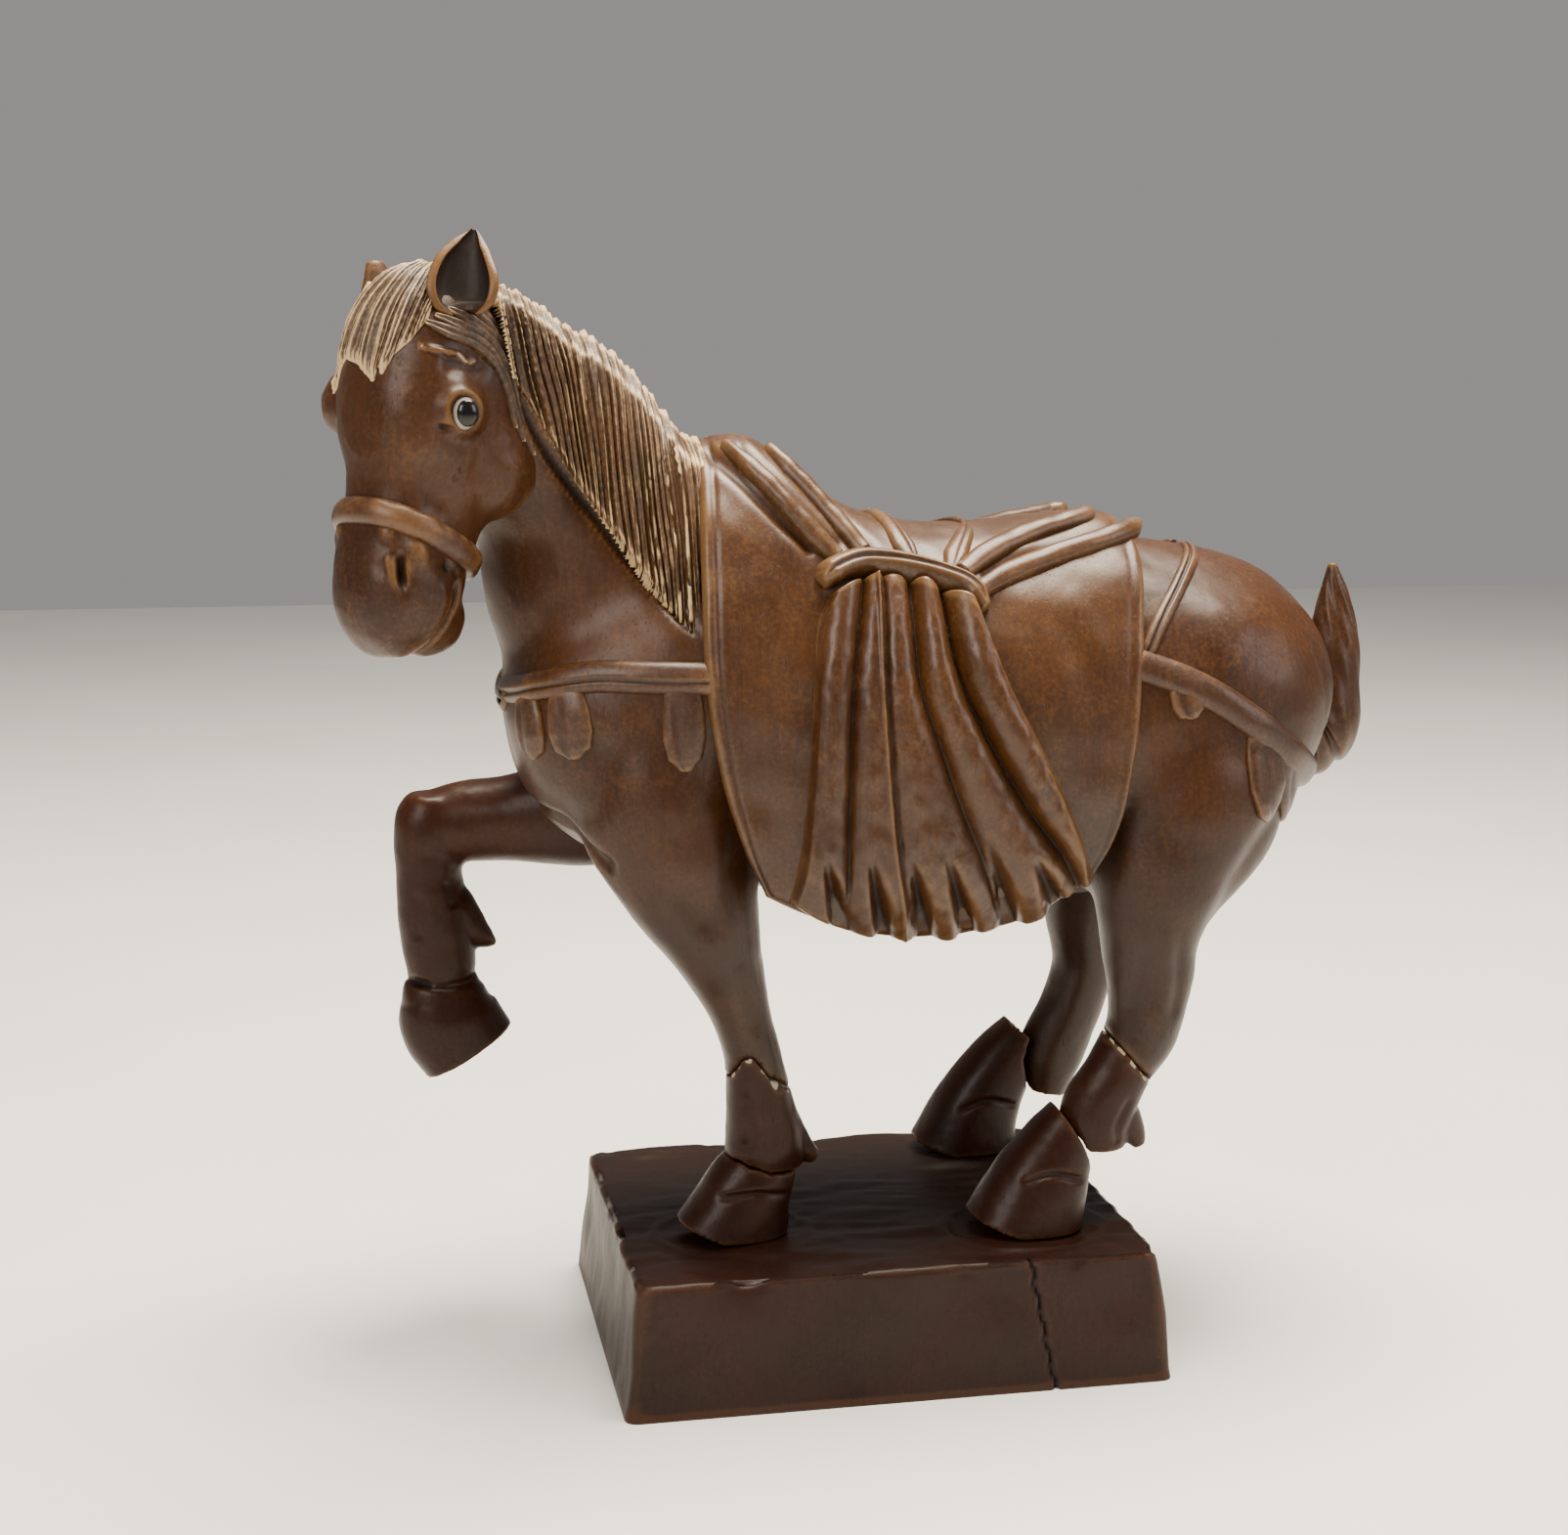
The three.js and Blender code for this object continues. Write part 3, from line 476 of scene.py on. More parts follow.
def stainedWood(name, dark, mid, light, worn, wornAmount=0.4, gloss=0.34, shine=0.45, foot=0.5):
    # stain that pools in the cuts and is rubbed off the high spots, over fine upright pores; below 0.124 m
    # the colour darkens toward the bottom by the share foot, as painted shade
    shade = Shade(name)
    flat = shade.place()
    relief = shade.node("ShaderNodeAttribute", {"attribute_name": "relief"}, output=2)
    cloud = shade.noise(flat, 42, 3)
    speckle = shade.noise(flat, 1300, 2, 0.6)
    fibre = shade.noise(shade.place(woodLook["grainStretch"]), 1.0, 4, 0.6)
    pore = shade.noise(shade.place(woodLook["poreStretch"]), 1.0, 2, 0.5).between(0.61, 0.74)
    patchy = shade.noise(flat, 120, 3)
    tone = (cloud * 0.6 + fibre * 0.3 + speckle * 0.2).between(0.32, 0.80)
    colour = shade.mix(tone, dark, mid)
    colour = shade.mix((patchy * 0.4 + speckle * 0.6).between(0.44, 0.74) * 0.5, colour, light)
    ridge = (relief + patchy * 0.45 + speckle * 0.3 - 0.48).between(0.0, 0.6)
    colour = shade.mix(ridge * wornAmount, colour, worn)
    groove = (0 - relief + fibre * 0.1 - 0.12).between(0.05, 0.75)
    colour = shade.mix(groove * 0.85, colour, tuple(0.2 * c for c in dark))
    colour = shade.mix(pore * 0.5, colour, tuple(0.4 * c for c in dark))
    # painted shade: the lower parts are darkened toward the floor, by the share foot, for the dimmer light
    # low down
    low = (0.124 - shade.node("ShaderNodeSeparateXYZ", {}, {0: flat}, 2)).between(0.0, 0.055)
    colour = shade.mix(low * foot, colour, tuple(0.35 * c for c in dark))
    colour = shade.mix((relief - 1.35).between(0.0, 0.4) * 0.75, colour, (0.36, 0.30, 0.22))
    rough = gloss + patchy * 0.12 + groove * 0.3 + pore * 0.15
    height = fibre * 0.5 + speckle * 0.3 - pore * 0.9
    return shade.finish({
        "Base Color": colour, "Roughness": rough, "Coat Weight": woodLook["coat"],
        "Coat Roughness": woodLook["coatRoughness"], "IOR": 1.45, "Specular IOR Level": shine,
    }, (height, woodLook["bump"], 0.0002))


# foot, given by name or as the ninth value, is how strongly painted shade darkens each wood's lower parts
# (0.5 where not given)
stain = {
    "body_wood": stainedWood("waxed body wood", (0.018, 0.0050, 0.0010), (0.056, 0.0185, 0.0032),
                             (0.086, 0.0325, 0.0070), (0.26, 0.130, 0.042), 0.30, shine=0.3, foot=0.6),
    # the leg wood is darker than the body wood as painted shade for the unlit lower legs
    "leg_wood": stainedWood("waxed leg wood with painted shade", (0.018, 0.0036, 0.0008), (0.038, 0.0096, 0.0018),
                            (0.054, 0.0165, 0.0036), (0.20, 0.092, 0.032), 0.30, shine=0.18, foot=0.55),
    "plinth_wood": stainedWood("waxed plinth wood", (0.012, 0.0028, 0.0008), (0.032, 0.0078, 0.0020),
                               (0.046, 0.0130, 0.0036), (0.16, 0.064, 0.024), 0.28, 0.42, 0.22, 0.5),
    "hair_wood": stainedWood("rubbed hair wood", (0.016, 0.0052, 0.0014), (0.088, 0.041, 0.0140),
                             (0.200, 0.112, 0.047), (0.58, 0.40, 0.21), 0.85, 0.40),
    "strap_wood": stainedWood("waxed strap wood", (0.017, 0.0046, 0.0010), (0.051, 0.0165, 0.0030),
                              (0.077, 0.0290, 0.0062), (0.25, 0.120, 0.042), 0.34),
    "cloth_wood": stainedWood("burnished cloth wood", (0.022, 0.0064, 0.0012), (0.068, 0.0240, 0.0040),
                              (0.104, 0.0420, 0.0092), (0.27, 0.150, 0.060), 0.28, 0.31, foot=0.38),
}


def glass(name, colour, tint, rough):
    # glossy glass with faint clouding
    shade = Shade(name)
    cloud = shade.noise(shade.place(), 700, 3)
    return shade.finish({
        "Base Color": shade.mix(cloud.between(0.35, 0.75), colour, tint), "Specular IOR Level": 0.3,
        "Roughness": cloud * 0.08 + rough, "Coat Weight": 0.15, "Coat Roughness": 0.04,
    })


stain["eye_white"] = glass("white bead glass", (0.34, 0.30, 0.26), (0.24, 0.20, 0.17), 0.14)
stain["eye_pupil"] = glass("black bead glass", (0.003, 0.0025, 0.0025), (0.008, 0.006, 0.005), 0.12)


def place(name, clay, slotName, *nodes, shade=0.0):
    # the worked skin becomes a piece that stands for its frame nodes and rides on the carving
    clay.verts, clay.quads, clay.tris = outward((clay.verts, clay.quads, clay.tris))
    mesh = meshOf(name, clay.verts, clay.quads, clay.tris)
    mark = mesh.attributes.new("relief", "FLOAT", "POINT")
    mark.data.foreach_set("value", (clay.relief() + shade).astype(np.float32))
    print(name, len(clay.quads) * 2 + len(clay.tris))
    mesh.shade_smooth()
    mesh.materials.append(stain[slotName])
    obj = bpy.data.objects.new(name, mesh)
    bpy.context.scene.collection.objects.link(obj)
    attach(obj, "root")
    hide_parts(*nodes)
    return obj


def treeOf(clay):
    # the skin as a search tree for rays
    faces = np.vstack([clay.quads[:, [0, 1, 2]], clay.quads[:, [0, 2, 3]], clay.tris])
    return BVHTree.FromPolygons(clay.verts.tolist(), faces.tolist())


def castOn(tree, starts, ways):
    # where each ray first meets the skin, and the normal there
    spots, ups = [], []
    for start, way in zip(starts, ways):
        spot, normal, _, _ = tree.ray_cast(Vector(start), Vector(way))
        spots.append(spot if spot is not None else Vector((np.nan,) * 3))
        ups.append(normal if normal is not None else Vector((np.nan,) * 3))
    return np.array(spots), np.array(ups)


def mended(values, good):
    # rows whose ray missed are read straight between the rows on either side
    at = np.arange(len(values))
    return np.stack([np.interp(at, at[good], values[good, k]) for k in range(3)], -1)


def layOn(tree, line, side, steps):
    # a side-view line dropped onto the skin from one side, and lightly smoothed
    flat = evenly(line, steps)
    starts = np.stack([flat[:, 0], np.full(steps, side * 90.0), flat[:, 1]], -1)
    spots, ups = castOn(tree, starts, np.tile([0.0, -side, 0.0], (steps, 1)))
    good = ~np.isnan(spots[:, 0])
    spots, ups = mended(spots, good), mended(ups, good)
    for _ in range(4):
        ups[1:-1] = (ups[:-2] + ups[1:-1] + ups[2:]) / 3
        spots[1:-1] = (spots[:-2] + spots[1:-1] + spots[2:]) / 3
    return spots, unit(ups)


# the carved body: trunk, neck and upper legs in one skin
bodyForm = {
    "voxel": 0.74,
    "torso": [(-61.5, 109, 7, 9), (-59, 109.5, 13.5, 15), (-53, 110.5, 20.5, 20.5), (-44, 112, 26, 24),
              (-30, 114.5, 31.5, 26.5), (-14, 114, 33, 28), (4, 110.5, 32, 29), (22, 110.5, 32.5, 29),
              (40, 110.5, 32.5, 28), (56, 111.5, 30.5, 27.5), (68, 112.5, 27, 25.5), (77, 112.5, 21, 21),
              (83, 112, 13.5, 14.5), (86, 111.5, 7, 8)],
    "neck": [(-27, 2, 117, 27, 24), (-36.5, 2, 129, 26, 20.5), (-44.5, 1.5, 139.5, 23, 16.5),
             (-51.6, -0.5, 152, 17.4, 13.5), (-59, -4, 160.5, 16, 12), (-66.5, -8.5, 167, 14, 11),
             (-72, -12, 170.5, 11, 9)],
    "nearFore": [(-40, -11, 106, 15, 12), (-36.5, -14, 95, 14, 11), (-32, -15, 84, 11.6, 9.6),
                 (-27.8, -14.5, 73.5, 8, 7.4), (-24.4, -14, 64, 5.4, 5.8), (-21.8, -13.4, 55, 4.9, 5.2),
                 (-20.4, -12.8, 46, 5.9, 5.6), (-19.4, -12.2, 38, 7, 6), (-19.6, -12, 33.5, 6.2, 5.4)],
    "nearHind": [(60, -10, 109, 18, 14), (56, -14, 97, 17.5, 13.5), (51.3, -16.5, 86.5, 14.6, 11.8),
                 (48.3, -18, 76.5, 10, 9), (48, -18.6, 66, 7.7, 6.6), (46.8, -19, 57.5, 6.6, 5.8),
                 (42.6, -19, 50, 5.8, 5.3), (38.9, -18.8, 42.5, 6.6, 5.5), (38.6, -18.8, 36.5, 5.4, 5)],
    "farHind": [(58, 13, 108, 17, 13), (54.5, 17, 95, 15.5, 12), (51, 20.5, 82, 11.5, 9.6),
                (49.6, 23, 69.5, 7.8, 6.8), (50.3, 24.2, 59, 6.2, 5.8), (48, 25, 50, 6, 5.4),
                (44.4, 25.4, 41, 6.4, 5.4), (42.6, 25.5, 33, 4.6, 4.6)],
    "farShoulder": [(-30, 9, 103, 13, 11), (-38, 12.5, 97.5, 11.8, 9.4), (-45.5, 15.5, 93.6, 10.2, 8.2)],
}
gap = 0.15


def lineBreak(line, shift=0.0, jag=0.0, seed=1):
    # height above a broken line in side view, with a little splintering along it
    table = np.asarray(line, float)
    rng = np.random.default_rng(seed)
    wave = rng.uniform(0.7, 2.4, 4)
    phase = rng.uniform(0, 6, 4)

    def height(x, z):
        rough = sum(np.sin(x * w * 1.7 + z * 0.9 * w + p) for w, p in zip(wave, phase)) * jag / 2
        return z - np.interp(x, table[:, 0], table[:, 1]) - shift - rough
    return height


def uprightBreak(line, shift):
    # distance past a nearly upright broken line in side view
    table = np.asarray(line, float)[::-1]

    def past(x, z):
        return x - np.interp(z, table[:, 1], table[:, 0]) - shift
    return past


breaks = {
    "nearForeTop": [(-34, 47), (-27, 49.5), (-24.4, 55.4), (-22.6, 55.8), (-18.6, 51), (-9, 44)],
    "nearForeFoot": [(-34, 38.4), (-26, 36.9), (-19, 34.4), (-5, 33.7)],
    "nearHindTop": [(32, 62), (40, 57.2), (43, 53.6), (47.4, 48.6), (60, 38)],
    "nearHindFoot": [(27, 50.5), (31.6, 43.8), (35.4, 37.6), (37.2, 33.6), (38.2, 28)],
    "farHind": [(-40, 72), (30, 63), (39.0, 60), (39.7, 55), (39.7, 47.6), (37.4, 40.6), (38.4, 35.4),
                (40.4, 31.6), (41.5, 20)],
    "sole": 22.9,
}

torso = [(x, midline, z, h, w) for x, z, h, w in bodyForm["torso"]]
nearForeTop = between(rod(bodyForm["nearFore"]), below=lineBreak(breaks["nearForeTop"], gap, 0.25, 3))
nearHindTop = between(rod(bodyForm["nearHind"]), below=lineBreak(breaks["nearHindTop"], gap, 0.25, 4))
farHindTop = between(rod(bodyForm["farHind"]), below=uprightBreak(breaks["farHind"], gap))
body = Clay(fuse([
    tube(rod(torso, along=120, around=72)), tube(rod(bodyForm["neck"])), tube(nearForeTop), tube(nearHindTop),
    tube(farHindTop), tube(rod(bodyForm["farShoulder"])),
], bodyForm["voxel"]))
body.relax(4)
body.soften(60, ease((body.verts[:, 2] - 66) / 10))
print("trunk", len(body.verts))


def onSide(clay, side):
    # how much a corner faces one side of the horse
    return ease(clay.normals()[:, 1] * side * 1.6) * (side * (clay.verts[:, 1] - midline) > 0)


def sideTool(clay, lines, width, depth, taper=0.25, sharp=2.0, sides=(-1, 1)):
    # the same tool marks on both flanks, laid out in side view
    for side in sides:
        flat = clay.verts * [1, 0, 1]
        clay.tool([[(x, 0, z) for x, z in line] for line in lines], width, depth, flat, taper, sharp,
                  where=onSide(clay, side))


muscle = {
    "creases": [
        [(-31, 118), (-28, 106), (-25.5, 96), (-27, 88), (-33, 82)],
        [(44, 112), (41.5, 100), (38, 92), (39, 84)],
        [(-53, 117), (-48, 108), (-50, 99), (-57, 95)],
        [(74, 106), (70, 96), (64, 88), (60, 80), (57, 70)],
        [(-38, 88), (-33, 83), (-29, 76)],
    ],
    "swells": [
        [(-44, 112), (-38, 104), (-36, 95)], [(58, 112), (54, 100), (50, 90)],
        [(66, 122), (60, 126), (52, 126)], [(-30, 84), (-28, 76), (-25, 68)],
    ],
}
sideTool(body, muscle["creases"], 2.6, -1.0, 0.35)
sideTool(body, muscle["swells"], 6.5, 0.9, 0.4)

# the neck stands proud in a crisp edge where the tips of the mane sink in
maneLine = [(-68.5, 177), (-63.5, 171), (-60.0, 163.5), (-55.9, 156.2), (-49.5, 147.6), (-43.2, 139.2),
            (-37.1, 132.4), (-31.9, 126.3)]
below = [(x - 0.8, z - 1.7) for x, z in maneLine]
above = [(x + 0.9, z + 0.9) for x, z in maneLine]
sideTool(body, [below], 2.6, 0.35, 0.12, 2)
sideTool(body, [above], 0.8, -1.1, 0.1, 3)
# the two hollows beside the windpipe
sideTool(body, [[(-61, 147), (-56, 138), (-52, 128)], [(-66, 152), (-62, 141), (-59, 130), (-60, 121)]],
         3.2, -0.8, 0.3)
# the crease between the chest and the raised leg
body.tool([[(-60.4, 18.8, 100.1), (-58, 6, 98.5), (-55.6, -4.9, 97), (-50.1, -15.2, 92.8),
            (-45.1, -20.5, 88.7)]], 1.5, -1.4, taper=0.1)
# the creases down the legs, and the edge of the buttock
sideTool(body, [[(-26.5, 76), (-23.6, 66), (-21.4, 58)], [(50.5, 78), (51.4, 66), (49.5, 58)]],
         1.3, -0.5, 0.3)
sideTool(body, [[(77.6, 126), (81.6, 116), (82.0, 106), (79.6, 97)]], 0.8, -0.9, 0.2)
sideTool(body, [[(44.6, 76), (43.4, 66), (43.2, 58)]], 1.4, -0.45, 0.3)
# long shallow cuts left by the gouge
body.press(ripple(body.verts * [0.6, 1, 1], 8.5, 11) * 0.07 + ripple(body.verts, 3.2, 12) * 0.012)


# the head, turned to the near side
skull = np.array([-74.2, -13.2, 165.0])
faceWay = unit([-0.766, -0.643, 0.0])
faceLeft = unit([0.643, -0.766, 0.0])
faceYaw = math.atan2(faceWay[1], faceWay[0])
faceFrame = np.stack([faceWay, faceLeft, [0.0, 0.0, 1.0]])


def onFace(forward, left, up):
    # from the head's own forward, left and up to the frame
    return skull + np.array([forward, left, up]) @ faceFrame


headForm = {
    "voxel": 0.36,
    "skull": [(-72.4, -11.5, 186.2, 5, 5), (-72.8, -12, 183, 9, 8.4), (-73.4, -12.5, 177, 12.4, 11.2),
              (-74.2, -13.2, 166, 14.6, 12.8), (-75.2, -14.2, 156, 13.6, 11.4), (-77.4, -15.6, 148, 11, 9.6),
              (-79.6, -17, 140, 10.2, 9.8), (-80.4, -17.8, 133.5, 9.4, 9.4), (-80, -17.6, 128.5, 7, 7),
              (-79.4, -17.4, 126.2, 3, 3)],
    "earStub": [(-80.2, -5.6, 177, 4.4, 3.6), (-81.2, -5, 181, 4.0, 3.2), (-81.6, -4.6, 185.2, 3.0, 2.0),
                (-82.2, -4.2, 188.6, 1.6, 1.0)],
    # cheek, brow and nostril on both sides, then the far brow and the chin
    "balls": [((-5.5, 6.2, -7.2), (11.6, 6.6, 11.0)), ((4.0, 11.0, 0.2), (5.6, 3.3, 5.2)),
              ((9.2, 5.4, -24.0), (4.6, 4.4, 6.8))],
    "oneSided": [((6.0, -12.6, 0.6), (4.8, 4.8, 6.0)), ((2.6, 0.4, -33.4), (6.8, 6.4, 6.6))],
}
headSolids = [tube(rod(headForm["skull"], faceLeft, 80, 120, 2.5)),
              tube(rod(headForm["earStub"], faceLeft, 28, 30))]
headBalls = [(spot * np.array([1, turn, 1]), radii) for turn in (-1, 1) for spot, radii in headForm["balls"]]
for spot, radii in headBalls + headForm["oneSided"]:
    headSolids.append(tube(ball(onFace(*spot), radii, faceYaw)))
head = Clay(fuse(headSolids, headForm["voxel"])).relax(6)
head.soften(45, ease((178 - head.verts[:, 2]) / 4))
print("head", len(head.verts))


def faceSpace(clay):
    # the corners in the head's forward, left and up
    return (clay.verts - skull) @ faceFrame.T


def faceTool(lines, width, depth, taper=0.25, sharp=2.0, both=True):
    # cuts and ridges on the near side of the face, and the same on the far side
    for turn in ((1, -1) if both else (1,)):
        mirrored = [[(f, turn * l, u) for f, l, u in line] for line in lines]
        head.tool(mirrored, width, depth, faceSpace(head), taper, sharp)


faceMarks = {
    "eye": (5.0, 13.6, -0.5), "eyeTurn": 1.08,
    "hairline": [(9.5, 8.9, 9.8), (6.4, 10.8, 8.7), (4.4, 11.4, 8.4), (2.2, 11.8, 7.2), (-0.2, 11.9, 7.9)],
    "frontPlane": ([-40, -22, -10, 5, 20], [1.0, 2.0, 1.1, 0.7, -1.1]),
    "shortCuts": 6,
}
# the long flat front of the face, planed down between its two edges
spot = faceSpace(head)
frontPlane = 13.4 + np.interp(spot[:, 2], *faceMarks["frontPlane"])
over = np.maximum(spot[:, 0] - frontPlane, 0) * ease((spot[:, 2] + 16) / 6)
head.verts = head.verts - over[:, None] * 0.85 * faceWay
# temple hollow, cheek edge, and the run of the jaw
faceTool([[(8, 9.6, 6.5), (3, 11.4, 7), (-2.2, 11.6, 6)]], 2.0, -0.9, 0.3)
faceTool([[(9.4, 8.6, -6), (8.4, 9.2, -12), (7.0, 9.4, -18)]], 2.4, -1.1, 0.3)
faceTool([[(-1.9, 11.7, 7.1), (-6.7, 14.4, 1.3), (-9.4, 14.9, -5), (-12.4, 11.5, -10.2), (-10.2, 10.5, -14.0),
           (-4.7, 8.1, -18.2)]], 1.3, 0.6, 0.2)
faceTool([[(1.2, 10.4, -6), (-2.5, 11.4, -13), (-2.5, 9.6, -20)]], 3.0, -0.5, 0.3)
faceTool([[(-8.0, 11.6, -6), (-6.5, 11.6, -13), (-2.0, 9.4, -19.5)]], 4.5, 0.7, 0.3)

# eye socket: a dented bowl, a raised lid ring and a dark cut round it
for turn in (1, -1):
    f, l, u = faceMarks["eye"]
    spot = faceSpace(head) - [f, turn * l, u]
    outwardEye = np.array([math.cos(faceMarks["eyeTurn"]), turn * math.sin(faceMarks["eyeTurn"]), 0])
    alongEye = np.array([outwardEye[1] * -turn, outwardEye[0] * turn, 0])
    a, b, c = spot @ alongEye, spot[:, 2] + 0.12 * (spot @ alongEye), spot @ outwardEye
    ring = np.sqrt(a ** 2 + (b * 0.95) ** 2)
    near = np.abs(c) < 7
    push = near * (0.2 * np.exp(-((ring - 3.1) / 0.5) ** 2) * (0.7 + 0.5 * np.clip(b / 3, -1, 1))
                   - 1.7 * np.exp(-(ring / 2.45) ** 4) - 0.2 * np.exp(-((ring - 4.4) / 1.5) ** 2))
    head.press(push)
# the brow over the socket, the tear line before it, and the short cuts below it on the near side
faceTool([[(8.6, 10.4, 3.0), (5.6, 12.4, 5.0), (1.6, 13.6, 5.2), (-1.6, 13.8, 3.0)]], 1.1, 0.15, 0.3)
faceTool([[(9.0, 10.6, -2.2), (8.0, 11.8, -3.0), (6.9, 12.8, -3.4), (5.6, 13.4, -4.2)]], 0.55, -0.8, 0.3)
faceTool([[(2.3 + k * 0.95, 12.4 - k * 0.55, -7.9 - k * 1.25),
           (3.7 + k * 0.95, 11.7 - k * 0.55, -8.7 - k * 1.25)] for k in range(faceMarks["shortCuts"])],
         0.34, -0.4, 0.45, both=False)
faceTool([faceMarks["hairline"]], 0.5, 0.85, 0.2)
# nostril: a raised arch over a slit
faceTool([[(15.3, 3.7, -20.2), (14.8, 5.2, -18.9), (14.6, 7.3, -18.6), (13.1, 8.8, -19.3),
           (11.2, 8.8, -22), (11.0, 8.6, -26)]], 1.5, 0.75, 0.2, 2.2)
faceTool([[(13.2, 7.0, -21.4), (13.6, 7.2, -23.5), (13.6, 7.4, -26.2), (13.0, 7.4, -29.8)]],
         0.62, -1.9, 0.45, 2.2)
faceTool([[(14.8, 5.6, -21.6), (14.6, 5.9, -25), (14.2, 6.0, -28.5)]], 0.6, 0.6, 0.3)
# mouth: the torn-looking corner, the slit down to the chin, and a deep line under the lip
faceTool([[(6.9, 9.4, -23.9), (4.4, 10.1, -25.2), (2.6, 9.6, -26.3)]], 0.8, -1.3, 0.3, 2.4)
faceTool([[(3.2, 9.2, -26.0), (3.2, 8.6, -29.6), (4.6, 7.8, -33.4), (6.0, 6.2, -36.0), (7.0, 3.2, -38),
           (7.4, 0, -38.6)]], 0.85, -1.7, 0.15, 2.4)
faceTool([[(7.5, 8.8, -25.5), (6.6, 8.8, -30), (8.0, 7.2, -35), (9.4, 3.6, -37.6), (9.8, 0, -38)]],
         1.5, 0.6, 0.2)
faceTool([[(10.8, 8.0, -31), (12.0, 6.2, -33.8), (13.0, 3.0, -35)]], 1.0, -0.5, 0.3)
faceTool([[(0.6, 8.0, -25), (-2.6, 6.6, -26.5)]], 1.4, -0.7, 0.3)
head.press(ripple(head.verts, 4.6, 21) * 0.035 + ripple(head.verts, 1.8, 22) * 0.007)
headTree = treeOf(head)
bodyTree = treeOf(body)
place("carved_trunk", body, "body_wood", "carved_body")
# pale chips along the hairline
away, _ = farFrom(faceSpace(head), through(faceMarks["hairline"], np.linspace(0, 1, 40)))
chipped = 2.2 * np.exp(-(away / 0.5) ** 2) * ease(ripple(head.verts, 1.4, 63) * 0.8 + 0.6)
place("carved_head", head, "body_wood", "carved_body", shade=chipped)


# the eyes: a white bead with a black pupil
eyeBall = {"bead": (2.2, 2.15, 2.6), "pupil": (0.95, 1.75, 2.15), "pupilOut": 1.5, "pupilBack": 0.22}
for turn, label in ((1, "left"), (-1, "right")):
    yaw = faceYaw + turn * faceMarks["eyeTurn"]
    middle = onFace(4.6, turn * 12.7, -0.6)
    look = np.array([math.cos(yaw), math.sin(yaw), 0])
    rear = np.array([math.sin(yaw), -math.cos(yaw), 0]) * -turn * eyeBall["pupilBack"]
    bead = Clay(tube(ball(middle, eyeBall["bead"], yaw, 40, 56)))
    pupil = Clay(tube(ball(middle + look * eyeBall["pupilOut"] + rear, eyeBall["pupil"], yaw, 32, 44)))
    place(f"{label}_bead", bead, "eye_white", f"{label}_eye_bead")
    place(f"{label}_pupil", pupil, "eye_pupil", f"{label}_eye_pupil")
print("eyes")


# the legs below the old breaks, and the raised leg
legForm = {
    "voxel": 0.36,
    "hoofPower": 2.3,
    "nearForeHoof": [(-19.9, -12, 38, 5.6, 5.4), (-20.6, -12, 34, 6.7, 6.4), (-22.8, -12, 29, 8, 7.4),
                     (-25.3, -12, 22, 10.2, 8.6)],
    "nearHindHoof": [(35.6, -18.8, 43, 4.6, 4.8), (32, -18.8, 37, 6.6, 6), (28.4, -19, 30, 8.8, 7.6),
                     (25.4, -19, 22, 10.6, 8.8)],
    "farHindHoof": [(39.4, 25.4, 44.5, 5.6, 5), (33.6, 25.4, 38, 6.8, 6), (29.4, 25.6, 30.5, 8.4, 7.2),
                    (26.8, 26, 22, 10.4, 8.4)],
    "nearForeSpur": [(-20.5, -12.2, 46, 5.0, 4.2), (-17.2, -12.1, 41.2, 4.6, 4.2),
                     (-13.6, -12, 37.6, 2.9, 3.0), (-10.4, -12, 35.2, 1.2, 1.4)],
    "nearHindSpur": [(39.2, -18.8, 46, 4.8, 4.2), (42.6, -18.8, 42, 4.2, 3.8), (45.4, -18.8, 38.6, 2.6, 2.6),
                     (47.0, -18.8, 36, 1.1, 1.2)],
    "raised": [(-42.5, 15, 94.6, 10.6, 8.6), (-48, 16.5, 93, 10.2, 8.4), (-60, 19, 91.8, 8, 7.2),
               (-70, 20, 91.2, 7.2, 6.4), (-77.5, 20, 90.6, 5.4, 5)],
    "raisedShin": [(-73.8, 20, 96.5, 4.2, 4.4), (-74.6, 20, 91.5, 6.4, 6), (-74.9, 20, 82, 6, 5.5),
                   (-74, 20, 72, 6.5, 5.6), (-73.2, 20, 66.5, 6.4, 5.4), (-73.2, 20, 62.5, 5.9, 5.2)],
    "raisedSpur": [(-73.0, 20, 78, 4.4, 4.2), (-70.6, 20, 74.4, 4.6, 4.0), (-67.4, 20, 71.2, 3.4, 3.0),
                   (-64.8, 20, 69.4, 1.8, 1.8), (-63.2, 20, 68.6, 0.5, 0.6)],
    "raisedHoof": [(-73.2, 20, 62.6, 6.4, 5.8), (-72.9, 20, 59.5, 7.6, 6.7), (-71.8, 20, 54.6, 9.2, 7.6),
                   (-68.4, 20, 49.0, 9.0, 7.2)],
}


def legMarks(clay, lines, width, depth, taper=0.2):
    # creases on both cheeks of one leg, laid out in side view
    clay.tool([[(x, 0, z) for x, z in line] for line in lines], width, depth, clay.verts * [1, 0, 1], taper,
              where=ease(np.abs(clay.normals()[:, 1]) * 1.5))


def glueLine(clay, line):
    # the pale ragged glue at a break: 2.6 * exp(-(distance / 1.2)^2) where a ripple is high
    near = np.exp(-(line(clay.verts[:, 0], clay.verts[:, 2]) / 1.2) ** 2)
    return 2.6 * near * ease(ripple(clay.verts, 1.8, 61) * 0.9 + 0.35)


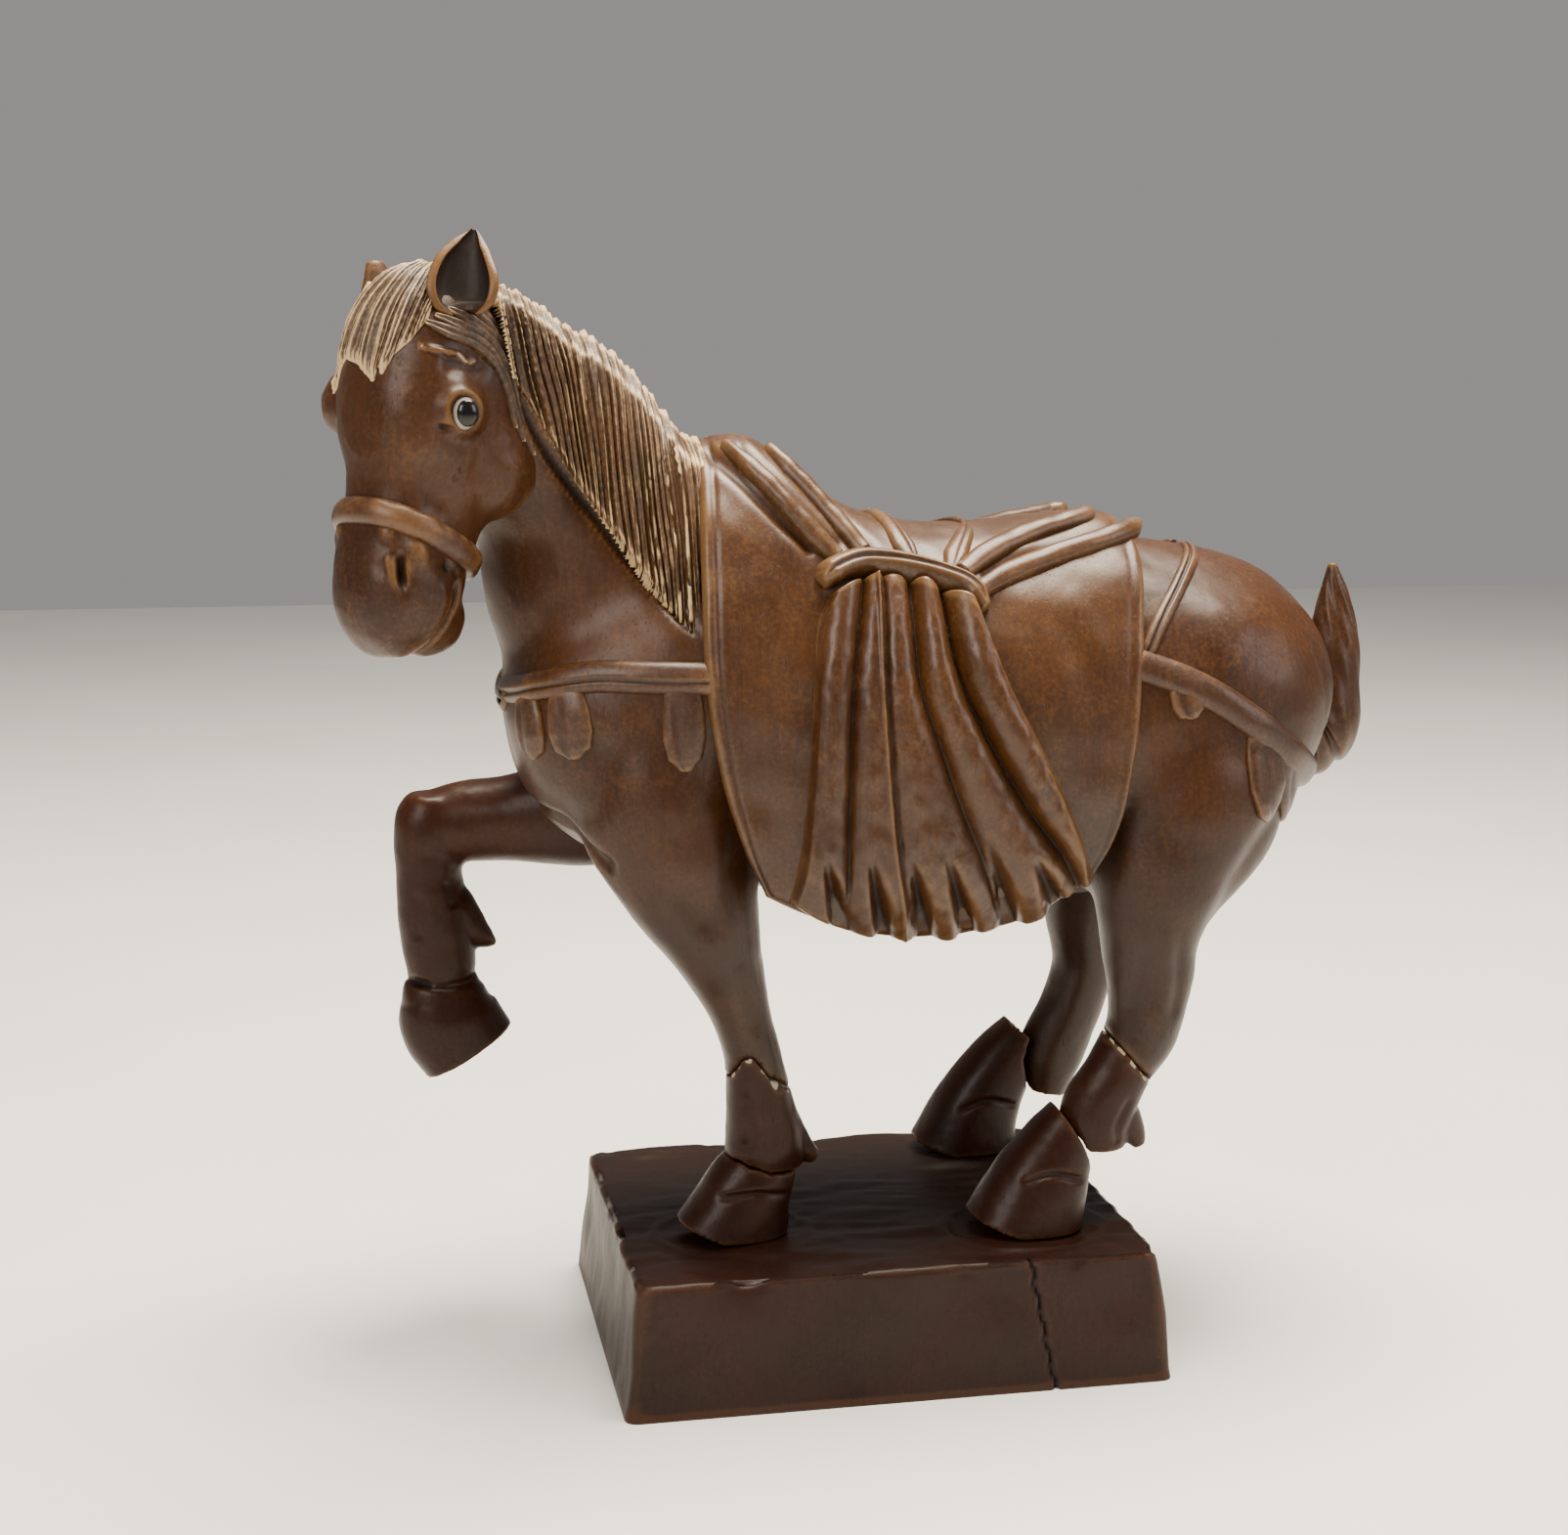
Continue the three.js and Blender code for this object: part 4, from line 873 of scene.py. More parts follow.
def fragment(name, solids, marks, node, glue=None, softAbove=None):
    # one part of a leg, with its creases, its gouge marks and the glue along its upper break
    clay = Clay(fuse(solids, legForm["voxel"])).relax(8)
    if softAbove is not None:
        clay.soften(50, ease((clay.verts[:, 2] - softAbove) / 6))
    for lines, width, depth in marks:
        legMarks(clay, lines, width, depth)
    clay.press(ripple(clay.verts, 7, len(name)) * 0.04 + ripple(clay.verts, 2.2, len(name) + 1) * 0.008)
    place(name, clay, "leg_wood", node, shade=0.0 if glue is None else glueLine(clay, glue))


def soleCut(x, z):
    # height above the sole, just over the plinth
    return z - breaks["sole"]


fragment("near_fore_shin", [
    tube(between(rod(bodyForm["nearFore"]), above=lineBreak(breaks["nearForeTop"], -gap, 0.25, 3),
                 below=lineBreak(breaks["nearForeFoot"], gap, 0.15, 5))),
    tube(rod(legForm["nearForeSpur"])),
], [([[(-24, 50), (-22.4, 42), (-24.4, 38)]], 1.0, -0.4)], "near_fore_cannon",
    lineBreak(breaks["nearForeTop"], 0, 0.25, 3))
fragment("near_fore_foot", [
    tube(between(rod(legForm["nearForeHoof"], power=legForm["hoofPower"]),
                 above=lineBreak(breaks["nearForeFoot"], -gap, 0.15, 5), below=soleCut)),
], [([[(-29.4, 30.6), (-22, 31.4), (-15, 30.2)]], 0.6, -0.55)], "near_fore_hoof")
fragment("near_hind_shin", [
    tube(between(rod(bodyForm["nearHind"]), above=lineBreak(breaks["nearHindTop"], -gap, 0.25, 4),
                 below=lineBreak(breaks["nearHindFoot"], gap, 0.15, 6))),
    tube(rod(legForm["nearHindSpur"])),
], [([[(44, 47), (41, 41), (42, 37.5)]], 0.9, -0.4)], "near_hind_cannon",
    lineBreak(breaks["nearHindTop"], 0, 0.25, 4))
fragment("near_hind_foot", [
    tube(between(rod(legForm["nearHindHoof"], power=legForm["hoofPower"]),
                 above=lineBreak(breaks["nearHindFoot"], -gap, 0.15, 6), below=soleCut)),
], [([[(22.8, 32.4), (29, 33.8), (36.4, 31.6)]], 0.6, -0.55)], "near_hind_hoof")
fragment("far_hind_foot", [
    tube(between(rod(legForm["farHindHoof"], power=legForm["hoofPower"]),
                 above=uprightBreak(breaks["farHind"], -gap), below=soleCut)),
], [([[(23.8, 31.4), (30, 33.6), (38, 31)]], 0.6, -0.55)], "off_hind_hoof")
fragment("raised_leg", [
    tube(rod(legForm["raised"])), tube(rod(legForm["raisedShin"])), tube(rod(legForm["raisedSpur"])),
    tube(rod(legForm["raisedHoof"], power=legForm["hoofPower"])),
], [
    ([[(-80, 63.4), (-74, 62.2), (-66.5, 62.6)]], 0.7, -0.6),
    ([[(-78, 86.5), (-72, 85.4), (-69, 84)]], 1.6, -0.25),
    ([[(-71.4, 82), (-70.4, 76)], [(-77, 80), (-77.4, 70)]], 1.0, -0.35),
], "raised_foreleg", softAbove=78)
print("legs")


# the mane, an arch of strands over the crest
maneForm = {
    "crest": [(-68.5, 183.4), (-65.5, 184.4), (-62.5, 184.5), (-60.9, 183.9), (-56.1, 181.5), (-51.2, 178.0),
              (-47.1, 176.6), (-40.5, 171.3), (-36.4, 166.4), (-32.2, 161.4), (-27.6, 159)],
    "nape": [(-70.5, -10.6, 177.6, 5.6, 7.2), (-67.4, -9.4, 177.8, 6.6, 8.6), (-64, -8.0, 176.4, 7.6, 9.6),
             (-60, -6, 173.2, 8.0, 9.8), (-56, -4, 170, 7.6, 9)],
    "lean": 0.19, "strand": (0.8, 1.9), "depth": 1.0, "thick": 1.5,
    "grid": (300, 121), "napeRings": 200, "napeAround": 84, "napeStrands": 12,
}
# the neck's middle line and widths as one even curve: a parabola through its stations
knots = np.asarray(bodyForm["neck"], float)
steps = np.linspace(-0.1, 1.12, 200)
fits = [np.polyfit(np.linspace(0, 1, len(knots)), knots[:, k], 2) for k in range(5)]
neckPath = np.stack([np.polyval(fit, steps) for fit in fits], -1)
neckTangent = unit(np.gradient(neckPath[:, [0, 2]], axis=0))
neckOut = np.stack([-neckTangent[:, 1], neckTangent[:, 0]], -1)
neckOut *= np.sign(neckOut[:, 1:])


def neckAt(x, z):
    # the nearest station of the neck's middle line, and how far out from it a side-view point lies
    d = (x[..., None] - neckPath[:, 0]) ** 2 + (z[..., None] - neckPath[:, 2]) ** 2
    k = np.argmin(d, axis=-1)
    out = (x - neckPath[k, 0]) * neckOut[k, 0] + (z - neckPath[k, 2]) * neckOut[k, 1]
    return k, out


crest = through(maneForm["crest"], np.linspace(0, 1, 200))
crestAt, crestOut = neckAt(crest[:, 0], crest[:, 1])
order = np.argsort(crestAt)
reach = np.interp(np.arange(len(neckPath)), crestAt[order], crestOut[order])


def maneSkin(q, v, lift):
    # column q starts on the crest and falls with a lean, and its half width is the neck's
    # superellipse plus the lift
    side = np.where(v < 0, -1.0, 1.0)
    top = np.interp(q, crest[:, 0], crest[:, 1])
    lower = np.interp(q, [p[0] for p in maneLine], [p[1] for p in maneLine])
    fall = np.abs(v) * (top - lower + 2.6)
    z = top - fall
    x = q + maneForm["lean"] * fall * np.clip((-29.5 - q) / 30, 0, 1)
    k, out = neckAt(x, z)
    ratio = np.clip(out / np.maximum(reach[k], 1), 0, 1)
    half = (neckPath[k, 4] + lift) * np.maximum(1 - ratio ** 2.5, 0) ** (1 / 2.5)
    tip = np.clip(np.abs(v) * 9, 0, 1) ** 0.5
    half = np.maximum(half, 0.5) * np.maximum(tip, 0.02)
    middle = neckPath[k, 1]
    return np.stack([x, middle + side * half, z], -1)


rng = np.random.default_rng(7)
seams = np.cumsum(rng.uniform(*maneForm["strand"], 40)) - 70.0
seams = seams[seams < -26]


def strandRelief(q, seams):
    # rounded strands between seams: 1 - |2f - 1|^2.4, plus 0.14 cos(4 pi f) for the hairs on each
    k = np.clip(np.searchsorted(seams, q) - 1, 0, len(seams) - 2)
    f = np.clip((q - seams[k]) / (seams[k + 1] - seams[k]), 0, 1)
    crown = 1 - np.abs(2 * f - 1) ** 2.4
    hairs = 0.14 * np.cos(2 * math.pi * f * 2 + k * 1.3)
    return crown + hairs, k


across, down = maneForm["grid"]
q, v = np.meshgrid(np.linspace(-64.2, -28.6, across), np.linspace(-1, 1, down), indexing="ij")
waveQ = q + 0.5 * np.sin(np.abs(v) * 3.2 + q * 0.3) + 0.12 * np.sin(np.abs(v) * 9 + q * 0.9)
strands, strandNumber = strandRelief(waveQ, seams)
base = maneSkin(q, v, maneForm["thick"])
ups = gridNormals(base)
ups *= np.sign((ups * (base - np.array([-45, 0, 140]))).sum(-1).mean())
tips = ease((np.abs(v) - 0.92) / 0.08)
depth = maneForm["depth"] * (0.6 + 0.7 * np.sin(strandNumber * 1.7) ** 2)
depth = depth * (0.45 + 0.55 * ease(np.abs(v) / 0.25))
height = depth * (strands - 0.55) * (1 - 0.25 * tips) - tips ** 2 * 2.4
height += 0.25 * np.sin(strandNumber * 2.3) + 0.25 * np.exp(-(v / 0.06) ** 2) * (strands - 0.3)
outer = base + ups * height[..., None]
inner = maneSkin(q, v, -2.2) - ups * 1.4
# the pad of hair between the mane and the poll, cut into strands round it
nape = rod(maneForm["nape"], faceLeft, maneForm["napeAround"], maneForm["napeRings"])
napeSeams = unevenSeams(rng, maneForm["napeStrands"], 0.3)
cutsOfNape, _ = strandRelief(np.linspace(0, 1, maneForm["napeRings"]), napeSeams)
nape = nape + unit(nape - nape.mean(1, keepdims=True)) * ((cutsOfNape - 0.6) * 0.7)[:, None, None]
place("mane_hair", Clay(together([shell(outer, inner), tube(nape)])), "hair_wood", "mane")
print("mane")


# the forelock, the side locks and the near ear

def lock(path, halfWidth, rise, hairs, sink=1.2, steps=90):
    # a tapering lock of hair along a path, grooved lengthwise by -0.34 * rise * cos^6 across it
    line = evenly(path, steps)
    spot = (line - skull) @ faceFrame.T
    ups = unit(np.stack([spot[:, 0], spot[:, 1] * 1.1, spot[:, 2] * 0.25], -1) @ faceFrame)
    t = np.linspace(0, 1, steps)
    full = np.minimum(1, (t / 0.16 + 0.04) ** 0.5) * np.minimum(1, ((1 - t) / 0.5 + 0.02) ** 0.5)

    def grooves(u, s):
        return -0.34 * rise * (0.5 + 0.5 * np.cos(math.pi * s * hairs)) ** 3

    return ribbon(line, ups, halfWidth * full, rise * np.sqrt(full), sink, 30, grooves)


def snapToFace(path, lift=0.2):
    # guide points moved in or out along the head until they sit on it
    path = np.asarray(path, float)
    spots = np.array([onFace(*p) for p in path])
    ways = unit(np.stack([path[:, 0], path[:, 1], 0 * path[:, 2]], -1) @ faceFrame)
    hits, _ = castOn(headTree, spots + ways * 40, -ways)
    good = ~np.isnan(hits[:, 0])
    spots[good] = hits[good] + ways[good] * lift
    return spots


# turn and rise in degrees about the middle of the skull, from the far side to the near ear; each tip
# starts with its place from nought to one across the sheet
foreForm = {
    "roots": [(-60, 56), (-25, 66), (10, 70), (36, 62), (42, 48)],
    "tips": [(0, -47, -12), (0.12, -38, -23), (0.2, -30, -14), (0.32, -19, -7), (0.45, -5, -10),
             (0.6, 8, -18), (0.66, 10.5, -11.5), (0.7, 13, -15), (0.78, 19, -5), (0.87, 27, 2),
             (0.94, 31, 8), (1, 36, 15)],
    "middle": (-4, 0, 10), "lift": 0.85, "strands": 30,
    "castGrid": (60, 44), "grid": (200, 110),
}


def foreSheet():
    # columns fan from the roots on the poll to a ragged line of tips, and rays to the skull's middle
    # carry them onto the skin; a smooth path through the spots found gives the finer grid
    cast, drop = foreForm["castGrid"]
    columns, rows = foreForm["grid"]
    middle = onFace(*foreForm["middle"])
    a, b = np.linspace(0, 1, cast), np.linspace(0, 1, drop)
    root = through(foreForm["roots"], a)
    tipTable = np.asarray(foreForm["tips"], float)
    spread = np.stack([np.interp(a, tipTable[:, 0], tipTable[:, k]) for k in (1, 2)], -1)
    angle = np.radians(root[:, None] + (spread - root)[:, None] * b[None, :, None])
    turn, rise = angle[..., 0], angle[..., 1]
    way = np.stack([np.cos(rise) * np.cos(turn), np.cos(rise) * np.sin(turn), np.sin(rise)], -1)
    way = way.reshape(-1, 3) @ faceFrame
    hits, _ = castOn(headTree, middle + way * 45, -way)
    base = through(hits.reshape(cast, -1), np.linspace(0, 1, columns)).reshape(columns, drop, 3)
    base = through(base.transpose(1, 0, 2).reshape(drop, -1), np.linspace(0, 1, rows))
    base = base.reshape(rows, columns, 3).transpose(1, 0, 2)
    ups = gridNormals(base)
    ups *= np.sign((ups * (base - middle)).sum(-1).mean())
    seams = unevenSeams(np.random.default_rng(5), foreForm["strands"], 0.35)
    q, v = np.meshgrid(np.linspace(0, 1, columns), np.linspace(0, 1, rows), indexing="ij")
    grooved, number = strandRelief(q + 0.012 * np.sin(v * 5 + q * 9), seams)
    lobes = 0.35 * np.cos(q * 2 * math.pi * 4 + 0.6)
    lift = foreForm["lift"] * (0.75 + 0.25 * np.sin(v * math.pi)) + 0.42 * (grooved - 0.6) + lobes * 0.5
    lift += 0.18 * np.sin(number * 1.9)
    edge = np.minimum(np.minimum(q, 1 - q) * 22, (1 - v) * 14)
    lift = lift * np.clip(edge / 0.7, 0.25, 1) ** 0.6
    return shell(base + ups * lift[..., None], base - ups * 0.9)


# the swept-back locks behind each eye: path on the face, half width and rise
sideLocks = [
    ([(8.2, 8.2, 13.6), (5.0, 10.2, 11.8), (1.0, 11.6, 10.4), (-3.2, 13.2, 7.2), (-6.6, 14.8, 2.6),
      (-9.0, 15.6, -3.0)], 1.1, 0.85),
    ([(6.6, 8.8, 14.6), (3.0, 10.6, 12.6), (-1.4, 11.8, 10.4), (-5.2, 13.6, 6.4), (-8.6, 15.0, 1.0),
      (-10.6, 15.4, -5.2)], 1.1, 0.85),
    ([(4.4, 9.4, 15.6), (0.4, 11.0, 13.2), (-4.0, 12.4, 10.2), (-8.0, 13.8, 5.2), (-11.0, 14.4, -0.8),
      (-12.4, 13.8, -7.4)], 1.2, 0.9),
    ([(1.6, 9.8, 16.8), (-2.8, 11.2, 13.8), (-7.2, 12.8, 9.0), (-11.2, 13.6, 2.8),
      (-13.8, 13.2, -3.6)], 1.3, 0.95),
]
strandsOfLock = [foreSheet()]
foreCount = len(strandsOfLock[0][0])
for path, half, rise in sideLocks:
    for turn in (1, -1):
        strandsOfLock.append(lock(snapToFace([(f, turn * l, u) for f, l, u in path]), half, rise, 1))
locks = Clay(together(strandsOfLock))
darker = -0.42 * (np.arange(len(locks.verts)) >= foreCount)
place("forelock_hair", locks, "hair_wood", "forelock", shade=darker)

# the near ear, a pointed cup: a wall carried round an open section that narrows to its tip
earForm = {
    "stations": [(-69.0, -24.2, 179.6, 2.6, 3.0), (-69.2, -24.8, 181.4, 4.0, 4.9),
                 (-69.2, -24.5, 184.2, 4.4, 5.6), (-68.8, -23.2, 187.2, 3.8, 4.9),
                 (-68.0, -21.4, 190.0, 2.6, 3.3), (-67.3, -20.0, 192.0, 1.2, 1.5),
                 (-67.0, -19.4, 193.0, 0.3, 0.4)],
    "open": (-0.19, -0.97, 0.12), "spread": 1.7, "wall": 1.1, "rings": 70, "around": 60,
}
s = through(earForm["stations"], np.linspace(0, 1, earForm["rings"]))
tangent = unit(np.gradient(s[:, :3], axis=0))
mouth = np.asarray(earForm["open"], float)
mouth = unit(mouth - tangent * (tangent @ mouth)[:, None])
wing = np.cross(tangent, mouth)
a = np.linspace(-earForm["spread"], earForm["spread"], earForm["around"])
outerEar = (s[:, None, :3] - mouth[:, None] * (np.cos(a)[None, :, None] * s[:, 3][:, None, None])
            + wing[:, None] * (np.sin(a)[None, :, None] * s[:, 4][:, None, None]))
wall = np.minimum(earForm["wall"], 0.45 * s[:, 3])[:, None]
wall = wall * (1 + 0.25 * np.exp(-((np.abs(a)[None, :] - earForm["spread"]) / 0.4) ** 2))
wall = wall * np.ones_like(outerEar[..., 0])
toMiddle = unit(s[:, None, :3] + mouth[:, None] * 0.4 - outerEar)
innerEar = outerEar + toMiddle * wall[..., None]
ear = Clay(shell(outerEar, innerEar)).relax(2)
# painted shade darkens the inside of the cup
paintedCupShade = -0.9 * np.clip((1.45 - np.abs(a)) / 0.4, 0, 1)
paintedCupShade = np.concatenate([np.zeros(len(a) * len(s)), np.tile(paintedCupShade, len(s))])
place("near_ear", ear, "body_wood", "left_ear", shade=paintedCupShade)
print("forelock and ear")


# the tail, a twisted horn with a groove at its root
tailForm = {
    "stations": [(82.6, 2, 107.0, 9.4, 7.8), (85.0, 2, 107.8, 9.8, 8), (87.0, 2, 110.2, 8.4, 7.2),
                 (88.8, 2, 116, 5.6, 5.8), (89.4, 2, 123, 4.6, 4.6), (89.3, 2, 130, 3.1, 3.0),
                 (88.7, 2, 136.8, 0.7, 0.8)],
    "around": 120, "rings": 150,
}
rings = rod(tailForm["stations"], around=tailForm["around"], along=tailForm["rings"])
turn = np.linspace(0, 2 * math.pi, tailForm["around"], endpoint=False)[None, :]
t = np.linspace(0, 1, tailForm["rings"])[:, None]
heart = rings.mean(1, keepdims=True)
cord = np.cos(11 * (turn + t * 3.4)) * 0.07 + np.cos(4 * (turn + t * 3.0) + 1) * 0.08
collar = -0.9 * np.exp(-((t - 0.16) / 0.025) ** 2)
rings = rings + unit(rings - heart) * (cord * ease(t / 0.3) * ease((1 - t) / 0.15) + collar)[..., None]
place("tail_horn", Clay(tube(rings)), "body_wood", "tail")


# the harness on the body
harness = {
    "breastLine": [(-63.4, 117.2), (-57.5, 119.6), (-49, 121.6), (-40, 121.6), (-30, 121.4)],
    "breastHalf": 2.7, "breastSteps": 90, "bridgeSteps": 60,
    "crupperLine": [(42, 122.4), (50, 119.6), (57.5, 115.8), (66.5, 109.8), (76, 102.8), (83.6, 97.4)],
    "crupperHalf": 2.75, "crupperRise": 1.7,
    "hipLine": [(43.4, 122.6), (47.6, 129), (52.4, 134.4), (58, 139.6), (62.4, 143)],
    "hipHalf": 1.5, "hipRise": 1.1,
}


def rollRelief(u, s):
    # slight unevenness along a hand-cut roll
    return 0.05 * np.sin(u * 19 + s * 2) + 0.04 * np.sin(u * 37 + 1.4)


def bandRelief(u, s):
    # the breast roll is cut along its upper third
    return rollRelief(u, s) - 0.55 * np.exp(-((s - 0.3) / 0.13) ** 2)


def bandOn(line, side, halfWidth, rise, taperEnds, relief=rollRelief, steps=110, sink=1.6):
    # a roll laid along a side-view line on one flank, narrowed over the given shares of its length
    path, ups = layOn(bodyTree, line, side, steps)
    t = np.linspace(0, 1, steps)
    full = np.ones(steps)
    for away, share in zip((t, 1 - t), taperEnds):
        if share:
            full *= np.minimum(1, (away / share + 0.02)) ** 0.6
    return ribbon(path, ups, halfWidth * full, rise * full, sink, 24, relief)


# the breast strap runs round the chest, so its front is cast from ahead
near, nearUps = layOn(bodyTree, harness["breastLine"], -1, harness["breastSteps"])
far, farUps = layOn(bodyTree, harness["breastLine"], 1, harness["breastSteps"])
count = harness["bridgeSteps"]
bridge = through([near[6], near[0], (-63.2, -2, 116.6), (-63.4, 2, 116.4), (-63.2, 6, 116.6), far[0], far[6]],
                 np.linspace(0, 1, count))
starts = bridge * [0, 1, 1] + [-110.0, 0, 0]
hits, hitUps = castOn(bodyTree, starts, np.tile([1.0, 0, 0], (count, 1)))
good = ~np.isnan(hits[:, 0])
hits, hitUps = mended(hits, good), mended(hitUps, good)
path = np.vstack([near[:8:-1], hits[8:-8], far[9:]])
ups = np.vstack([nearUps[:8:-1], hitUps[8:-8], farUps[9:]])
for _ in range(10):
    path[1:-1] = (path[:-2] + path[1:-1] * 2 + path[2:]) / 4
    ups[1:-1] = (ups[:-2] + ups[1:-1] * 2 + ups[2:]) / 4
# the strap sinks and flattens toward the front of the chest
sunk = np.interp(path[:, 0], [-68, -58], [0.8, 0.0])[:, None]
rise = np.interp(path[:, 0], [-68, -58], [0.8, 1.7])
breast = ribbon(path - ups * sunk, ups, harness["breastHalf"], rise, 1.8, 30, bandRelief)
place("breast_roll", Clay(breast), "strap_wood", "breast_strap")
crupper = [bandOn(harness["crupperLine"], side, harness["crupperHalf"], harness["crupperRise"], (0, 0.06))
           for side in (-1, 1)]
place("crupper_roll", Clay(together(crupper)), "strap_wood", "crupper_strap")


def twisted(u, s):
    # a slanting groove, -0.6 * exp(-(distance / 0.16)^2), that parts the roll into two strands
    return -0.6 * np.exp(-((s + 0.1 - 0.3 * u) / 0.16) ** 2)


hip = [bandOn(harness["hipLine"], side, harness["hipHalf"], harness["hipRise"], (0.1, 0.25), twisted)
       for side in (-1, 1)]
place("hip_roll", Clay(together(hip)), "strap_wood", "hip_strap")

# each leaf: x and z of its top, its length, its half width and its lean to the rear
pendants = {
    "chest_pendant_front": [(-59.4, 116.4, 9.0, 3.4, 0.1), (-53.4, 118.0, 10.0, 3.9, 0.12)],
    "chest_pendant_rear": [(-35.0, 119.6, 13.4, 3.6, 0.04)],
    "rump_pendant_front": [(50.4, 118.6, 5.6, 3.0, 0.35)],
    "rump_pendant_rear": [(65.8, 109.2, 14.6, 4.4, 0.12), (72.4, 104.2, 11.0, 3.4, 0.1)],
}


leafOutline = ([0, 0.12, 0.3, 0.62, 0.86, 1], [0.78, 0.86, 0.96, 1.0, 0.8, 0.25])  # share of length, of width


def leafRelief(u, s):
    # one shallow vein, -0.22 * exp(-(distance / 0.2)^2), fading in from the top
    return -0.22 * np.exp(-((s + 0.3) / 0.2) ** 2) * ease(u / 0.3)


for side, label in ((-1, "left"), (1, "right")):
    for name, leaves in pendants.items():
        solids = []
        for x, z, length, half, lean in leaves:
            line = [(x, z + 1), (x + lean * length * 0.4, z - length * 0.45), (x + lean * length, z - length)]
            path, ups = layOn(bodyTree, line, side, 60)
            t = np.linspace(0, 1, 60)
            width = half * np.interp(t, *leafOutline)
            solids.append(ribbon(path, ups, width, 1.2 * np.sqrt(width / half), 1.2, 26, leafRelief))
        place(f"{name}_leaf_{label}", Clay(together(solids)), "strap_wood", f"{name}_{label}")
print("harness")

# the noseband goes round the muzzle in a tilted ring
noseForm = {"centre": (0.2, 0.2, -23.6), "tilt": 0.54, "width": 2.25, "rise": 1.9, "steps": 160}
ang = np.linspace(0, 2 * math.pi, noseForm["steps"], endpoint=False)
ring = np.stack([30 * np.cos(ang), 30 * np.sin(ang), 0 * ang], -1)
ring[:, 2] = np.tan(noseForm["tilt"]) * ring[:, 0] * 0.9
centre = onFace(*noseForm["centre"])
starts = centre + ring @ faceFrame
hits, hitUps = castOn(headTree, starts, unit(centre - starts))
for _ in range(8):
    hits = (np.roll(hits, 1, 0) + 2 * hits + np.roll(hits, -1, 0)) / 4
    hitUps = (np.roll(hitUps, 1, 0) + 2 * hitUps + np.roll(hitUps, -1, 0)) / 4


def noseRelief(u, s):
    # 26 small scallops along the lower edge, over five slow swells
    scallops = 0.14 * np.cos(u * 2 * math.pi * 26) * np.exp(-((s - 0.75) / 0.3) ** 2)
    return scallops + 0.12 * np.sin(u * 2 * math.pi * 5)


noseband = ribbon(hits, hitUps, noseForm["width"], noseForm["rise"], 1.4, 26, noseRelief, True)
place("nose_roll", Clay(noseband), "strap_wood", "noseband")


# the saddle cloth, draped over the back
drape = {
    "axis": 106.0, "power": 2.3,
    "rows": [(-40, 50, 27.5), (-24.5, 54.4, 28.5), (-17, 52.6, 29.2), (-5, 43.4, 30), (7.5, 39.6, 30.4),
             (22, 39.4, 30.4), (40, 41, 29.6), (49, 39.4, 28.6), (56, 36, 27.6)],
    "front": [(-29.3, 160.5), (-30.9, 149.2), (-31.4, 136.7), (-31.2, 120.8), (-28.7, 104.6), (-25.2, 93.1),
              (-21.4, 84.7)],
    "hem": [(-21.4, 84.7), (-14, 81.1), (-5.6, 78.2), (6.2, 76.5), (16.4, 77.2), (25, 79.7), (35.6, 86.4)],
    "rear": [(46.0, 148), (46.2, 143.6), (46.0, 139.4), (44.6, 131.8), (43.4, 122), (42.4, 112), (41.2, 103),
             (39.2, 94), (35.6, 86.4)],
    "channels": [[(-22.5, 158.4), (-15.2, 150.8), (-8.2, 142.6)],
                 [(44.4, 144.6), (31.0, 141.8), (18.0, 137.2)],
                 [(-28.0, 158), (-20.6, 150.2), (-13.2, 142.6)], [(-14.0, 157), (-8.2, 150), (-2.2, 142)]],
    "grid": (190, 125), "thick": 3.0,
}
drapeDense = through(drape["rows"], np.linspace(0, 1, 240))


def drapeSize(x):
    # the drape's height over its axis and its half width at a station
    return np.interp(x, drapeDense[:, 0], drapeDense[:, 1]), np.interp(x, drapeDense[:, 0], drapeDense[:, 2])


def drapeTurn(x, z):
    # the angle round the drape's axis at a height
    h, w = drapeSize(x)
    up = np.clip((z - drape["axis"]) / h, -1, 1)
    y = w * np.maximum(1 - np.abs(up) ** drape["power"], 0) ** (1 / drape["power"])
    return np.arctan2(up * h, y)


def drapeAt(x, angle, side):
    # a point at an angle round the superellipse section
    h, w = drapeSize(x)
    c, s = np.cos(angle), np.sin(angle)
    r = ((np.abs(c) / w) ** drape["power"] + (np.abs(s) / h) ** drape["power"]) ** (-1 / drape["power"])
    return np.stack([x, midline + side * r * c, drape["axis"] + r * s], -1)


def onDrape(x, z, side, lift=0.0):
    # a side-view spot carried onto the drape and raised along its normal
    angle = drapeTurn(x, z)
    p = drapeAt(x, angle, side)
    n = unit(np.cross(drapeAt(x, angle + 0.02, side) - p, drapeAt(x + 0.5, angle, side) - p)) * side
    axis = np.stack([x, midline + 0 * x, drape["axis"] + 0 * x], -1)
    n = n * np.sign((n * (p - axis)).sum(-1, keepdims=True))
    return p + n * np.asarray(lift)[..., None], n


def turned(line):
    # a side-view line as stations along the horse and angles round the drape
    line = np.asarray(line, float)
    return np.stack([line[:, 0], drapeTurn(line[:, 0], line[:, 1])], -1)


frontEdge = turned(drape["front"])[::-1]
rearEdge = turned(drape["rear"])[::-1]
hemEdge = turned(drape["hem"])
frontEdge[-1, 1] = rearEdge[-1, 1] = math.pi / 2
topEdge = np.stack([np.linspace(-29.3, 46.0, 9), np.full(9, math.pi / 2)], -1)
across, down = drape["grid"]
u, v = np.meshgrid(np.linspace(0, 1, across), np.linspace(0, 1, down), indexing="ij")


